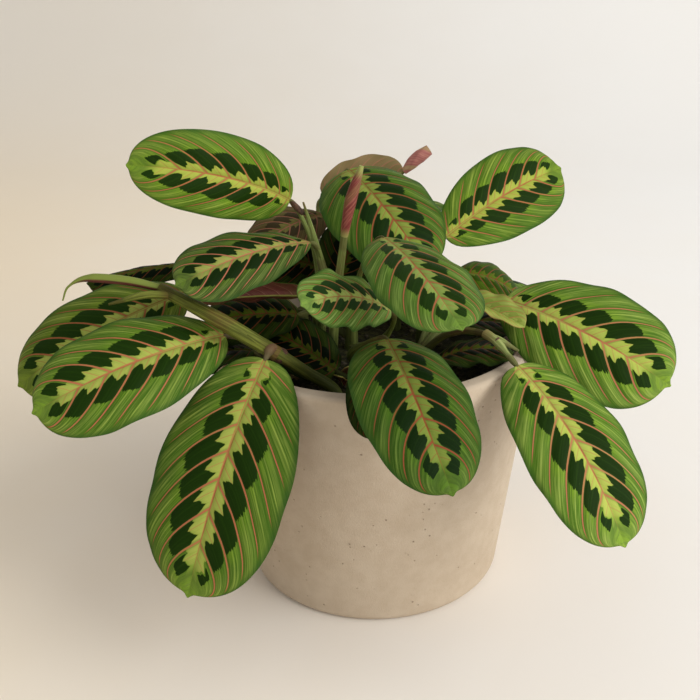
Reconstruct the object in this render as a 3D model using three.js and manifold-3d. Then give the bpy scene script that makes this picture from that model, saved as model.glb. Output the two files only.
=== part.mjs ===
// A potted prayer plant with red-veined leaves, in a plain tapered stoneware pot.
// Units are millimetres, +Z is up, and the origin is the centre of the pot's flat base.
// The plant's front, with the leaf that hangs lowest, faces -Y.
import * as THREE from "three";
import { mergeVertices } from "three/addons/utils/BufferGeometryUtils.js";
import Module from "manifold-3d";

// Pot: a tapered bowl with a flat base and softly rounded edges.
const POT_HEIGHT = 128;
const POT_RIM_RADIUS = 80;
const POT_BASE_RADIUS = 64;
const POT_WALL = 8;
const POT_FLOOR = 9;
const POT_FOOT_ROUNDING = 4;
const POT_LIP_ROUNDING = 2;
const POT_INNER_BEVEL = 4;
const POT_SIDES = 48;

// Soil: it fills the pot and mounds up a little towards the middle.
const SOIL_BELOW_RIM = 16;
const SOIL_MOUND = 3;
const SOIL_SHOULDER = { reach: 0.6, rise: 0.7 };
const FIT_GAP = 0.3;

// Shoots: round stems that stand in plain holes in the soil.
const ROOT_DEPTH = 30;
const COLLAR_HEIGHT = 5;
const HOLE_GAP = 0.4;
const STEM_SIDES = 8;
const PETIOLE_SIDES = 6;
const PETIOLE_FOOT_RADIUS = 2.3;
const PETIOLE_TIP_RADIUS = 1.4;
const PETIOLE_SHEATH = 0.7;
const PETIOLE_STEP = 8;

// Blades: thin leathery ovals, a little thicker along the midrib.
const BLADE_THICKNESS = 0.8;
const MIDRIB_DEPTH = 1.0;
const BLADE_ROWS = 10;
const BLADE_COLUMNS = [-1, -0.62, -0.2, 0, 0.2, 0.62, 1];
const BLADE_BROADEST = 0.58;
const BLADE_FULLNESS = 2.3;
const LOBE_TO_WIDTH = 0.05;
const LOBE_FALLOFF = 8;
const WAVES_PER_BLADE = 3;

const SOIL_TOP = POT_HEIGHT - SOIL_BELOW_RIM;
const UP = new THREE.Vector3(0, 0, 1);

const wasm = await Module();
wasm.setup();

const clay = new THREE.MeshStandardMaterial({ color: 0xb3a593, roughness: 0.9, metalness: 0 });
const earth = new THREE.MeshStandardMaterial({ color: 0x33261c, roughness: 1, metalness: 0 });
const stalk = new THREE.MeshStandardMaterial({ color: 0x7c8a48, roughness: 0.55, metalness: 0 });
const green = new THREE.MeshStandardMaterial({ color: 0x4a7a33, roughness: 0.45, metalness: 0 });
const maroon = new THREE.MeshStandardMaterial({ color: 0x8a4648, roughness: 0.5, metalness: 0 });

// Each leaf: its name, the blade's base and tip, its width, and its six bends. Bow lifts the
// midrib's middle and sway moves it to the right. In degrees, roll turns the blade about its
// midrib, fold raises both halves like a book, and curl turns the margins down. Wave is the
// height of the ripples along the margin. A last number is where along it a blade is broadest.
const LEAVES = [
  leaf("upper_left", [-38, 5, 190], [-102, -35, 217.5], 37, [9, 5, -90, 6, 22, 1], 0.53),
  leaf("crinkled_left", [-28, -10, 174], [-82, -55, 171], 34, [6, 0, -30, 5, 30, 1], 0.67),
  leaf("far_left", [-87, -15, 152], [-160, -45, 120], 46, [10, 0, -45, 5, 40, 1]),
  leaf("left", [-65, -47, 144], [-140, -85, 127], 49, [8, 0, -35, 6, 30, 1]),
  leaf("hanging_left", [-46, -62, 139], [-78, -112, 55], 61, [8, 0, -15, 6, 25, 1], 0.55),
  leaf("front", [6, -60, 147], [29, -130, 115], 48, [8, 2, 0, 5, 30, 1], 0.48),
  leaf("centre", [5, -35, 184], [34, -95, 167], 44, [5, 1, 0, 5, 30, 1]),
  leaf("young_pale", [8, -42, 153], [-29, -62, 164], 33, [4, 3, -30, 5, 25, 2]),
  leaf("upper_centre", [-11, 32, 197], [26, -16, 163], 54, [8, 2, 16, 5, 35, 1], 0.47),
  leaf("upper_right", [35, 5, 171], [94, 45, 193], 42, [5, -2, 50, 6, 25, 1]),
  leaf("right", [62, -14, 146], [128, -57, 123], 55, [6, -1, 36, 6, 26, 1]),
  leaf("hanging_right", [62.5, -56, 132], [100, -114, 80], 48, [8, -1, 10, 6, 28, 1], 0.54),
  leaf("unrolling", [-24, 52, 178], [17, 60, 188.5], 28, [2, 0, -60, 14, -20, 0.5], 0.45),
  leaf("dark_right", [43, 13, 150], [75, 18, 132.5], 35, [5, 0, 20, 5, 30, 0.5]),
  leaf("shaded_left", [-24, 36, 173], [-58, 10, 163], 30, [5, 0, -25, 5, 25, 1]),
  leaf("inner_left", [-30, -24, 154], [-80, -38, 156], 16, [2, 0, 55, 20, 10, 1], 0.5),
  leaf("inner_front", [-17, -38, 122], [-50, -24, 138], 27, [4, 0, -38, 5, 25, 1], 0.5),
  leaf("curled_left", [-90, 14, 156], [-139, 8, 149], 22, [2, 0, -20, -20, 40, 2]),
  leaf("low_right", [28, -36, 125], [63, -36, 129.5], 34, [4, 0, -4, 5, 20, 1]),
  leaf("tucked_front", [0, -58, 137], [1, -98, 120], 24, [5, 0, 0, 5, 20, 1]),
  leaf("low_left", [-54, -40, 133], [-90, -52, 121], 30, [7, 0, 0, 5, 15, 1]),
  leaf("folded_right", [42, -14, 147], [68, -34, 141], 16, [2, 0, 20, 30, 0, 1]),
  leaf("shaded_front", [-34, -24, 144], [-76, -31, 143], 36, [3, 0, -20, 5, 15, 1]),
  leaf("shaded_right", [34, -3, 129], [72, -13, 131.5], 29, [3, 0, 0, 5, 20, 1]),
  leaf("back_right", [52, 50, 132], [98, 98, 98], 44, [7, 0, 0, 6, 30, 1]),
  leaf("back_hanging_right", [26, 64, 142], [42, 120, 72], 48, [9, 0, 0, 6, 30, 1]),
  leaf("back", [-8, 64, 146], [-14, 140, 118], 48, [9, 0, 0, 6, 30, 1]),
  leaf("back_left", [-46, 50, 144], [-86, 112, 102], 48, [9, 0, 0, 6, 30, 1]),
  leaf("low_back_left", [-72, 26, 136], [-132, 58, 92], 44, [9, 0, 0, 6, 30, 1]),
  leaf("upper_back", [14, 50, 166], [30, 104, 156], 36, [7, 0, 0, 6, 30, 1]),
  leaf("upper_back_left", [-24, 66, 160], [-50, 112, 140], 38, [7, 0, 0, 6, 30, 1]),
  leaf("low_back_right", [76, 28, 133], [128, 44, 86], 40, [8, 0, 0, 6, 30, 1]),
  leaf("inner_centre", [-18, 12, 138], [-7, 15, 176], 30, [3, 0, 65, 5, 20, 1]),
  leaf("inner_back_left", [-24, 33, 146], [-60, 40, 152], 36, [4, 0, -55, 6, 25, 1]),
  leaf("inner_back_right", [27, 38, 141], [44, 54, 136], 24, [5, 0, 0, 6, 25, 1]),
];

// A leaf as an object.
function leaf(name, base, tip, width, bends, broadest = BLADE_BROADEST) {
  const [bow, sway, roll, fold, curl, wave] = bends;
  return { name, base, tip, width, bow, sway, roll, fold, curl, wave, broadest };
}

// The directions that a blade is built in: along its chord, up from its face, and to its right.
function bladeAxes({ base, tip, roll }) {
  const start = new THREE.Vector3(...base);
  const chord = new THREE.Vector3(...tip).sub(start);
  const along = chord.clone().normalize();
  const level = UP.clone().addScaledVector(along, -along.z).normalize();
  const up = level.applyAxisAngle(along, THREE.MathUtils.degToRad(roll));
  return { start, chord, along, up, right: along.clone().cross(up) };
}

// A point of the midrib, at fraction a of its length from the base to the tip.
function midribPoint(axes, { bow, sway }, a) {
  const arch = 4 * a * (1 - a);
  return axes.start
    .clone()
    .addScaledVector(axes.chord, a)
    .addScaledVector(axes.up, bow * arch)
    .addScaledVector(axes.right, sway * arch);
}

// The direction in which the midrib runs at fraction a.
function midribDirection(axes, { bow, sway }, a) {
  const slope = 4 * (1 - 2 * a);
  return axes.chord
    .clone()
    .addScaledVector(axes.up, bow * slope)
    .addScaledVector(axes.right, sway * slope)
    .normalize();
}

// Half the blade's width at fraction a: a full oval that is broadest at its own fraction.
function halfWidth({ width, broadest }, a) {
  const evened = Math.pow(a, Math.log(0.5) / Math.log(broadest));
  const narrowing = Math.abs(2 * evened - 1) ** BLADE_FULLNESS;
  return (width / 2) * Math.max(0, 1 - narrowing) ** (1 / BLADE_FULLNESS);
}

// A point of the blade's middle surface, at fraction a along and v across (-1 left, 1 right),
// and the direction that the upper face looks in there.
function bladePoint(axes, blade, a, v) {
  const side = Math.sign(v);
  const across = Math.abs(v);
  const forward = midribDirection(axes, blade, a);
  const up = axes.right.clone().cross(forward).normalize();
  const right = forward.clone().cross(up);
  const reach = across * halfWidth(blade, a);
  const rise = THREE.MathUtils.degToRad(blade.fold - (blade.curl * across) / 2);
  const tilt = THREE.MathUtils.degToRad(blade.fold - blade.curl * across);
  const phase = blade.base[0] + side;
  const ripple = blade.wave * across ** 3 * Math.sin(2 * Math.PI * WAVES_PER_BLADE * a + phase);
  const lobe = LOBE_TO_WIDTH * blade.width * across ** 2 * (1 - a) ** LOBE_FALLOFF;
  const point = midribPoint(axes, blade, a)
    .addScaledVector(right, side * reach * Math.cos(rise))
    .addScaledVector(up, reach * Math.sin(rise) + ripple * Math.sin(Math.PI * a))
    .addScaledVector(forward, -lobe);
  const normal = up.multiplyScalar(Math.cos(tilt)).addScaledVector(right, -side * Math.sin(tilt));
  return { point, normal };
}

// A blade as a closed sheet, split into the same triangles on its upper and lower faces.
function bladeGeometry(blade) {
  const axes = bladeAxes(blade);
  const points = [];
  const faces = [];
  const addPair = (a, v) => {
    const { point, normal } = bladePoint(axes, blade, a, v);
    const midrib = v === 0 ? MIDRIB_DEPTH * (1 - a) : 0;
    points.push(point.clone().addScaledVector(normal, BLADE_THICKNESS / 2));
    points.push(point.clone().addScaledVector(normal, -BLADE_THICKNESS / 2 - midrib));
    return points.length / 2 - 1;
  };
  const addTriangle = (i, j, k) => {
    faces.push(2 * i, 2 * j, 2 * k);
    faces.push(2 * i + 1, 2 * k + 1, 2 * j + 1);
  };
  const baseEnd = addPair(0, 0);
  const rows = [];
  for (let row = 1; row < BLADE_ROWS; row++) {
    const a = (1 - Math.cos((Math.PI * row) / BLADE_ROWS)) / 2;
    rows.push(BLADE_COLUMNS.map((v) => addPair(a, v)));
  }
  const tipEnd = addPair(1, 0);
  const first = rows[0];
  const last = rows[rows.length - 1];
  for (let column = 0; column < BLADE_COLUMNS.length - 1; column++) {
    addTriangle(baseEnd, first[column + 1], first[column]);
    for (let row = 0; row < rows.length - 1; row++) {
      const near = rows[row];
      const far = rows[row + 1];
      if (BLADE_COLUMNS[column] < 0) {
        addTriangle(near[column], near[column + 1], far[column]);
        addTriangle(near[column + 1], far[column + 1], far[column]);
      } else {
        addTriangle(near[column], near[column + 1], far[column + 1]);
        addTriangle(near[column], far[column + 1], far[column]);
      }
    }
    addTriangle(last[column], last[column + 1], tipEnd);
  }
  const rightMargin = rows.map((row) => row[row.length - 1]);
  const leftMargin = rows.map((row) => row[0]).reverse();
  const rim = [baseEnd, ...rightMargin, tipEnd, ...leftMargin];
  rim.forEach((here, i) => {
    const next = rim[(i + 1) % rim.length];
    faces.push(2 * next, 2 * here, 2 * here + 1);
    faces.push(2 * next, 2 * here + 1, 2 * next + 1);
  });
  return new THREE.BufferGeometry().setFromPoints(points).setIndex(faces);
}

// A closed round stalk along a curve, whose radius changes with the fraction of its length.
function stalkGeometry(curve, steps, sides, radiusAt) {
  const frames = curve.computeFrenetFrames(steps, false);
  const points = [];
  const faces = [];
  for (let step = 0; step <= steps; step++) {
    const centre = curve.getPointAt(step / steps);
    const radius = radiusAt(step / steps);
    for (let side = 0; side < sides; side++) {
      const turn = (2 * Math.PI * side) / sides;
      points.push(
        centre
          .clone()
          .addScaledVector(frames.normals[step], radius * Math.cos(turn))
          .addScaledVector(frames.binormals[step], radius * Math.sin(turn)),
      );
    }
  }
  for (let side = 0; side < sides; side++) {
    const next = (side + 1) % sides;
    for (let step = 0; step < steps; step++) {
      const low = step * sides;
      const high = low + sides;
      faces.push(low + side, low + next, high + next);
      faces.push(low + side, high + next, high + side);
    }
    if (side > 0 && next > 0) {
      const end = steps * sides;
      faces.push(0, next, side);
      faces.push(end, end + side, end + next);
    }
  }
  return new THREE.BufferGeometry().setFromPoints(points).setIndex(faces);
}

// A petiole's radius at a fraction of its length: it is sheathed, so thicker, in its lower part.
function petioleRadius(t) {
  const taper = Math.min(1, t / PETIOLE_SHEATH);
  return THREE.MathUtils.lerp(PETIOLE_FOOT_RADIUS, PETIOLE_TIP_RADIUS, taper);
}

// The curve of a leaf's petiole, from its foot on the stem to just short of the blade's base.
function petioleCurve(blade, foot, lean, neck) {
  const axes = bladeAxes(blade);
  const forward = midribDirection(axes, blade, 0);
  const end = axes.start.clone().addScaledVector(forward, -FIT_GAP);
  const bend = axes.start.clone().addScaledVector(forward, -neck);
  return new THREE.CubicBezierCurve3(
    new THREE.Vector3(...foot),
    new THREE.Vector3(...lean),
    bend,
    end,
  );
}

// Each shoot: where it is rooted, the points that its stem passes above the soil, its radii at
// the root and the end, and the petioles that it carries.
const SHOOTS = [
  {
    name: "runner",
    root: [-17, -46],
    stem: [[-30, -51, 128], [-43, -57, 141], [-65, -54, 155], [-92, -45, 166]],
    radii: [3, 2.4],
    sheaths: [
      { points: [[-86, -47, 163.5], [-98, -51, 165], [-112, -56, 163]], radii: [1.8, 1.6, 0.5] },
    ],
    petioles: [
      petiole("hanging_left", [-43, -57, 142], [-44, -60, 144], 4),
      petiole("left", [-44, -57, 141], [-55, -52, 143], 6),
    ],
  },
  {
    name: "shoot_left",
    root: [-26, -10],
    stem: [[-25, -9, 132]],
    radii: [3, 2.6],
    petioles: [
      petiole("upper_left", [-25, -9, 125], [-20, -7, 165], 8),
      petiole("crinkled_left", [-25, -9, 128], [-20, -2, 160], 6),
      petiole("inner_left", [-26, -10, 122], [-24, -14, 140], 6),
      petiole("low_left", [-26, -11, 119], [-50, -36, 112], 4),
      petiole("shaded_front", [-26, -11, 124], [-26, -12, 148], 5),
    ],
  },
  {
    name: "shoot_spike",
    root: [-19, -22],
    stem: [[-18, -23, 135], [-15, -24, 161], [-12, -24, 182]],
    radii: [2.8, 1.6],
    petioles: [],
  },
  {
    name: "shoot_centre",
    root: [-11, 4],
    stem: [[-11, 5, 132]],
    radii: [3, 2.6],
    petioles: [
      petiole("upper_centre", [-11, 5, 124], [-14, 48, 158], 8),
      petiole("inner_centre", [-11, 5, 120], [-22, 11, 122], 5),
    ],
  },
  {
    name: "shoot_front",
    root: [-8, -26],
    stem: [[-8, -27, 130]],
    radii: [3.4, 2.8],
    petioles: [
      petiole("front", [-8, -27, 122], [-14, -44, 134], 8),
      petiole("centre", [-8, -27, 122], [-13, -16, 158], 8),
      petiole("young_pale", [-7, -27, 122], [10, -28, 135], 6),
      petiole("inner_front", [-8, -28, 119], [-9, -46, 120], 5),
      petiole("tucked_front", [-8, -28, 120], [-8, -45, 120], 6),
    ],
  },
  {
    name: "shoot_right",
    root: [20, -20],
    stem: [[30, -25, 131], [41, -33, 139], [51, -42, 141]],
    radii: [2, 1.5],
    sheaths: [{ points: [[49, -41, 141], [56, -45, 139.5], [64, -49, 136]], radii: [1.4, 1.5, 0.5] }],
    petioles: [
      petiole("hanging_right", [50, -41, 141], [56, -47, 140], 6),
      petiole("right", [23, -21, 124], [40, -14, 146], 8),
      petiole("low_right", [21, -20, 118], [22, -30, 121], 3),
      petiole("folded_right", [22, -20, 122], [30, -8, 146], 5),
    ],
  },
  {
    name: "shoot_back_right",
    root: [24, 8],
    stem: [[25, 8, 132]],
    radii: [3, 2.6],
    petioles: [
      petiole("upper_right", [25, 8, 124], [24, 4, 158], 7),
      petiole("dark_right", [25, 8, 122], [34, 10, 148], 7),
      petiole("low_back_right", [25, 8, 120], [48, 8, 132], 8),
      petiole("shaded_right", [25, 7, 118], [27, 3, 124], 4),
    ],
  },
  {
    name: "shoot_back_left",
    root: [-34, 14],
    stem: [[-35, 14, 132]],
    radii: [3, 2.6],
    petioles: [
      petiole("far_left", [-35, 14, 122], [-60, 10, 152], 8),
      petiole("curled_left", [-35, 14, 126], [-60, 18, 156], 8),
      petiole("low_back_left", [-35, 14, 120], [-52, 22, 134], 8),
    ],
  },
  {
    name: "shoot_back",
    root: [-6, 32],
    stem: [[-7, 33, 134]],
    radii: [3.2, 2.8],
    petioles: [
      petiole("unrolling", [-7, 33, 126], [-32, 50, 165], 6),
      petiole("shaded_left", [-7, 33, 126], [-16, 40, 162], 6),
      petiole("back", [-6, 33, 122], [-4, 48, 144], 8),
      petiole("back_left", [-7, 33, 120], [-16, 52, 136], 8),
      petiole("upper_back_left", [-7, 33, 124], [-18, 52, 150], 8),
      petiole("inner_back_left", [-7, 33, 122], [-18, 30, 144], 6),
    ],
  },
  {
    name: "shoot_back_middle",
    root: [12, 30],
    stem: [[12, 31, 134]],
    radii: [3, 2.6],
    petioles: [
      petiole("upper_back", [12, 31, 124], [12, 40, 155], 8),
      petiole("back_hanging_right", [12, 31, 122], [24, 48, 142], 8),
      petiole("back_right", [12, 31, 120], [40, 32, 138], 8),
      petiole("inner_back_right", [12, 31, 124], [18, 32, 144], 6),
    ],
  },
];

// A petiole as an object: the leaf that it carries and the shape of its curve.
function petiole(leafName, foot, lean, neck) {
  return { leafName, foot, lean, neck };
}

// Rolled leaves that have not opened: the points that each roll passes, and its radii at even
// steps along it. The one at the left ends in a thin dry thread.
const ROLLED_LEAVES = [
  {
    name: "leaf_spike",
    points: [[-11.9, -24, 182.5], [-9, -25, 197], [-4, -24, 213]],
    radii: [1.5, 2.6, 1],
  },
  {
    name: "leaf_rolled_left",
    points: [[-93, -45, 166.6], [-106, -46, 170], [-122, -48, 172], [-130, -50, 169], [-133, -51, 163]],
    radii: [1.4, 1.8, 1.9, 1.7, 0.6, 0.5],
  },
  {
    name: "leaf_unrolling_tip",
    points: [[17.8, 60.2, 189.3], [23, 62, 194.5], [30, 64, 199]],
    radii: [1.4, 3.2, 2.8],
  },
];

// A closed geometry as a solid that can be joined or cut.
function solidOf(geometry) {
  const bare = geometry.clone();
  bare.deleteAttribute("normal");
  bare.deleteAttribute("uv");
  const merged = mergeVertices(bare, 1e-4);
  return new wasm.Manifold(
    new wasm.Mesh({
      numProp: 3,
      vertProperties: merged.attributes.position.array,
      triVerts: new Uint32Array(merged.index.array),
    }),
  );
}

// The geometry of a joined or cut solid.
function geometryOf(solid) {
  const { vertProperties, triVerts } = solid.getMesh();
  return new THREE.BufferGeometry()
    .setAttribute("position", new THREE.BufferAttribute(vertProperties, 3))
    .setIndex(new THREE.BufferAttribute(triVerts, 1));
}

// An upright round bar, for a stem's root and, a little wider, for the hole that it stands in.
function uprightBar([x, y], bottom, top, radius) {
  const bar = new THREE.CylinderGeometry(radius, radius, top - bottom, STEM_SIDES);
  return bar.rotateX(Math.PI / 2).translate(x, y, (top + bottom) / 2);
}

// The stem's root in the soil, its stem above and all its petioles, joined as one piece.
function shootGeometry({ root, stem, radii, petioles, sheaths = [] }) {
  const collar = SOIL_TOP + COLLAR_HEIGHT;
  let joined = solidOf(uprightBar(root, SOIL_TOP - ROOT_DEPTH, collar, radii[0]));
  const route = [[...root, collar - 1], ...stem].map((point) => new THREE.Vector3(...point));
  const stemCurve = new THREE.CatmullRomCurve3(route, false, "centripetal");
  const stemSteps = 3 * stem.length - 1;
  const stemRadius = (t) => THREE.MathUtils.lerp(radii[0], radii[1], t);
  joined = joined.add(solidOf(stalkGeometry(stemCurve, stemSteps, STEM_SIDES, stemRadius)));
  for (const { leafName, foot, lean, neck } of petioles) {
    const blade = LEAVES.find(({ name }) => name === leafName);
    const curve = petioleCurve(blade, foot, lean, neck);
    const steps = THREE.MathUtils.clamp(Math.round(curve.getLength() / PETIOLE_STEP), 3, 7);
    joined = joined.add(solidOf(stalkGeometry(curve, steps, PETIOLE_SIDES, petioleRadius)));
  }
  for (const sheath of sheaths) joined = joined.add(solidOf(rolledGeometry(sheath)));
  return geometryOf(joined);
}

// A rolled leaf or a sheath: a stalk that swells and then narrows to its tip.
function rolledGeometry({ points, radii }) {
  const curve = new THREE.CatmullRomCurve3(points.map((point) => new THREE.Vector3(...point)));
  const radius = (t) => {
    const place = t * (radii.length - 1);
    const before = Math.min(Math.floor(place), radii.length - 2);
    return THREE.MathUtils.lerp(radii[before], radii[before + 1], place - before);
  };
  return stalkGeometry(curve, 3 * (points.length - 1), PETIOLE_SIDES, radius);
}

// A quarter circle of points round (x, z), from one angle to another in degrees.
function corner(x, z, radius, from, to) {
  const steps = 3;
  return Array.from({ length: steps + 1 }, (_, i) => {
    const angle = THREE.MathUtils.degToRad(from + ((to - from) * i) / steps);
    return new THREE.Vector2(x + radius * Math.cos(angle), z + radius * Math.sin(angle));
  });
}

// A profile of radius and height turned round the upright axis.
function turned(profile, sides) {
  return new THREE.LatheGeometry(profile, sides).rotateX(Math.PI / 2);
}

// The outer radius of the pot's wall at a height.
function potRadius(z) {
  return THREE.MathUtils.lerp(POT_BASE_RADIUS, POT_RIM_RADIUS, z / POT_HEIGHT);
}

// The pot: base, outer wall, rounded lip, inner wall and floor, turned as one profile.
function potGeometry() {
  const lip = POT_LIP_ROUNDING;
  const foot = POT_FOOT_ROUNDING;
  const inside = (z) => potRadius(z) - POT_WALL;
  const profile = [
    new THREE.Vector2(0, 0),
    ...corner(potRadius(foot) - foot, foot, foot, -90, 0),
    ...corner(POT_RIM_RADIUS - lip, POT_HEIGHT - lip, lip, 0, 90),
    ...corner(inside(POT_HEIGHT) + lip, POT_HEIGHT - lip, lip, 90, 180),
    new THREE.Vector2(inside(POT_FLOOR + POT_INNER_BEVEL), POT_FLOOR + POT_INNER_BEVEL),
    new THREE.Vector2(inside(POT_FLOOR) - POT_INNER_BEVEL, POT_FLOOR),
    new THREE.Vector2(0, POT_FLOOR),
  ];
  return turned(profile, POT_SIDES);
}

// The soil: a low mound that fits inside the pot, with a blind hole for every shoot.
function soilGeometry() {
  const inside = (z) => potRadius(z) - POT_WALL - FIT_GAP;
  const bottom = POT_FLOOR + FIT_GAP;
  const bevel = POT_INNER_BEVEL + FIT_GAP;
  const edge = inside(SOIL_TOP);
  const profile = [
    new THREE.Vector2(0, bottom),
    new THREE.Vector2(inside(bottom) - bevel, bottom),
    new THREE.Vector2(inside(bottom + bevel), bottom + bevel),
    new THREE.Vector2(edge, SOIL_TOP),
    new THREE.Vector2(edge * SOIL_SHOULDER.reach, SOIL_TOP + SOIL_MOUND * SOIL_SHOULDER.rise),
    new THREE.Vector2(0, SOIL_TOP + SOIL_MOUND),
  ];
  let soil = solidOf(turned(profile, POT_SIDES / 2));
  for (const { root, radii } of SHOOTS) {
    const bottomOfHole = SOIL_TOP - ROOT_DEPTH - HOLE_GAP;
    const hole = uprightBar(root, bottomOfHole, POT_HEIGHT, radii[0] + HOLE_GAP);
    soil = soil.subtract(solidOf(hole));
  }
  return geometryOf(soil);
}

// A mesh of one piece of the plant, under its own name.
function named(name, geometry, material) {
  const mesh = new THREE.Mesh(geometry, material);
  mesh.name = name;
  return mesh;
}

const plant = new THREE.Group();
plant.add(named("pot", potGeometry(), clay));
plant.add(named("soil", soilGeometry(), earth));
for (const shoot of SHOOTS) plant.add(named(shoot.name, shootGeometry(shoot), stalk));
for (const blade of LEAVES) plant.add(named(`leaf_${blade.name}`, bladeGeometry(blade), green));
for (const roll of ROLLED_LEAVES) plant.add(named(roll.name, rolledGeometry(roll), maroon));

export default plant;
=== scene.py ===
"""Dresses a potted prayer plant: patterned blades, stems, rolled leaves, soil, pot and studio.

The plant's own tables are in millimetres, as its solids were drawn. They become metres when a
mesh is made.
"""

from __future__ import annotations

import logging
import math
from dataclasses import dataclass, field
from enum import Enum
from typing import Any, Sequence

import bpy
import numpy as np
from mathutils import Matrix, Vector


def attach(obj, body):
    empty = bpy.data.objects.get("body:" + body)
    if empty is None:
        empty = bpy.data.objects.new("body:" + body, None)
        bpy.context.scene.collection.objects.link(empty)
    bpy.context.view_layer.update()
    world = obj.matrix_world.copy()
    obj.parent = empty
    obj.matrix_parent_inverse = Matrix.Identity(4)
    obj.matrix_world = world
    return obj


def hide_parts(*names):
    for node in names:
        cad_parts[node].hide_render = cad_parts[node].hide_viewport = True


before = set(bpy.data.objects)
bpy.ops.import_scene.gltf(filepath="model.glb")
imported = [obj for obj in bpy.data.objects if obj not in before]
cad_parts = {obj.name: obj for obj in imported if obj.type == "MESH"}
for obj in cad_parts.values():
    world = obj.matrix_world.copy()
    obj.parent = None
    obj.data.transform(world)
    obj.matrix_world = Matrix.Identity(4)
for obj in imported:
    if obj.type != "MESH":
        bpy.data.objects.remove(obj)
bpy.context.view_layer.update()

LOG = logging.getLogger("prayer_plant")
MM = 0.001
FULL_TURN = 2 * math.pi

Colour = tuple[float, float, float]
Point = tuple[float, float, float]
Number = "Value | float | int"

# Pot and soil.
POT_HEIGHT = 128.0
POT_RIM_RADIUS = 80.0
POT_BASE_RADIUS = 64.0
POT_WALL = 8.0
POT_FLOOR = 9.0
SOIL_TOP = 112.0
SOIL_MOUND = 3.0
ROOT_DEPTH = 12
STEM_START = 3

# A blade's outline, thickness and waves.
BLADE_THICKNESS = 0.6
MARGIN_THICKNESS = 0.3
BLADE_BROADEST = 0.58
BLADE_FULLNESS = 2.3
LOBE_TO_WIDTH = 0.05
LOBE_FALLOFF = 8
WAVES_PER_BLADE = 3
BLADE_CREASE = 55

# A blade's veins, and the rows and columns of its mesh.
VEIN_LEAN = 0.8
VEIN_SWEEP = 1.4
BASE_VEIN_SWEEP = 4.5
BASE_VEIN_REACH = 0.17
VEIN_CROWDING = 0.78
WIDEST_VEIN_GAP = 30.0
ROW_SWEEP = 1.3
STEPS_PER_VEIN = 8
FIRST_VEIN_STEP = 3
BASE_ROWS = (0.0, 0.02, 0.08, 0.2, 0.45)
TIP_ROWS = (0.5, 0.2, 0.07, 0.02)
COLUMNS = (
    *(0, 0.03, 0.07, 0.12, 0.18, 0.25, 0.32, 0.39, 0.46, 0.53),
    *(0.6, 0.67, 0.735, 0.8, 0.86, 0.915, 0.96, 0.987, 1),
)

# A blade's fine relief: the quilting between its veins, its wavy hem, the groove over the midrib
# and the keel under it, and the little nib at the tip.
QUILT_TO_WIDTH = 0.017
QUILT_FLATNESS = 2.4
HEM_TO_WIDTH = 0.003
GROOVE_DEPTH = 0.4
GROOVE_REACH = 0.9
KEEL_DEPTH = 0.9
KEEL_REACH = 1.2
KEEL_START = 0.02
NIB_TO_WIDTH = 0.03
NIB_REACH = 1.3
NIB_LENGTH = 1.5

# The lime band's outline from one vein to the next, and how large a dark patch is by its place
# between base and tip.
BAND_OUTLINE = (
    *((0, 0.18), (0.1, 0.19), (0.2, 0.17), (0.3, 0.20), (0.4, 0.23)),
    *((0.47, 0.185), (0.6, 0.12), (0.74, 0.075), (0.86, 0.115), (1, 0.18)),
)
PATCH_SIZES = (
    *((0, 0.1), (0.07, 0.45), (0.19, 0.85), (0.3, 1), (0.64, 1)),
    *((0.72, 0.85), (0.83, 0.4), (0.93, 0), (1, 0)),
)
CELL_SHIFT = 8.0

# A leaf's stalk: its sheathed foot, its neck, and the swollen joint under the blade.
SHEATH_RADIUS = 2.3
SHEATH_END_RADIUS = 1.9
NECK_RADIUS = 1.15
NECK_END_RADIUS = 1.1
JOINT_BULGE = 0.45
JOINT_PLACE = 4.5
JOINT_REACH = 2.6
TAPER_LENGTH = 1.2

# The material slots of a shoot.
STEM_SLOT, RING_SLOT, STALK_SLOT, CLAY_SLOT = range(4)


class Value:
    """A number's socket, which grows Math nodes as it is used in an expression."""

    def __init__(self, shader: Shader, socket: bpy.types.NodeSocket) -> None:
        """Keeps the socket and the shader that it belongs to."""
        self.shader = shader
        self.socket = socket

    def __add__(self, other: Number) -> Value:
        """Adds."""
        return self.shader.maths("ADD", self, other)

    def __sub__(self, other: Number) -> Value:
        """Takes away."""
        return self.shader.maths("SUBTRACT", self, other)

    def __rsub__(self, other: Number) -> Value:
        """Is taken away from a number."""
        return self.shader.maths("SUBTRACT", other, self)

    def __mul__(self, other: Number) -> Value:
        """Multiplies."""
        return self.shader.maths("MULTIPLY", self, other)

    def __truediv__(self, other: Number) -> Value:
        """Divides."""
        return self.shader.maths("DIVIDE", self, other)

    def __pow__(self, other: Number) -> Value:
        """Raises to a power."""
        return self.shader.maths("POWER", self, other)

    __radd__ = __add__
    __rmul__ = __mul__


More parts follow.
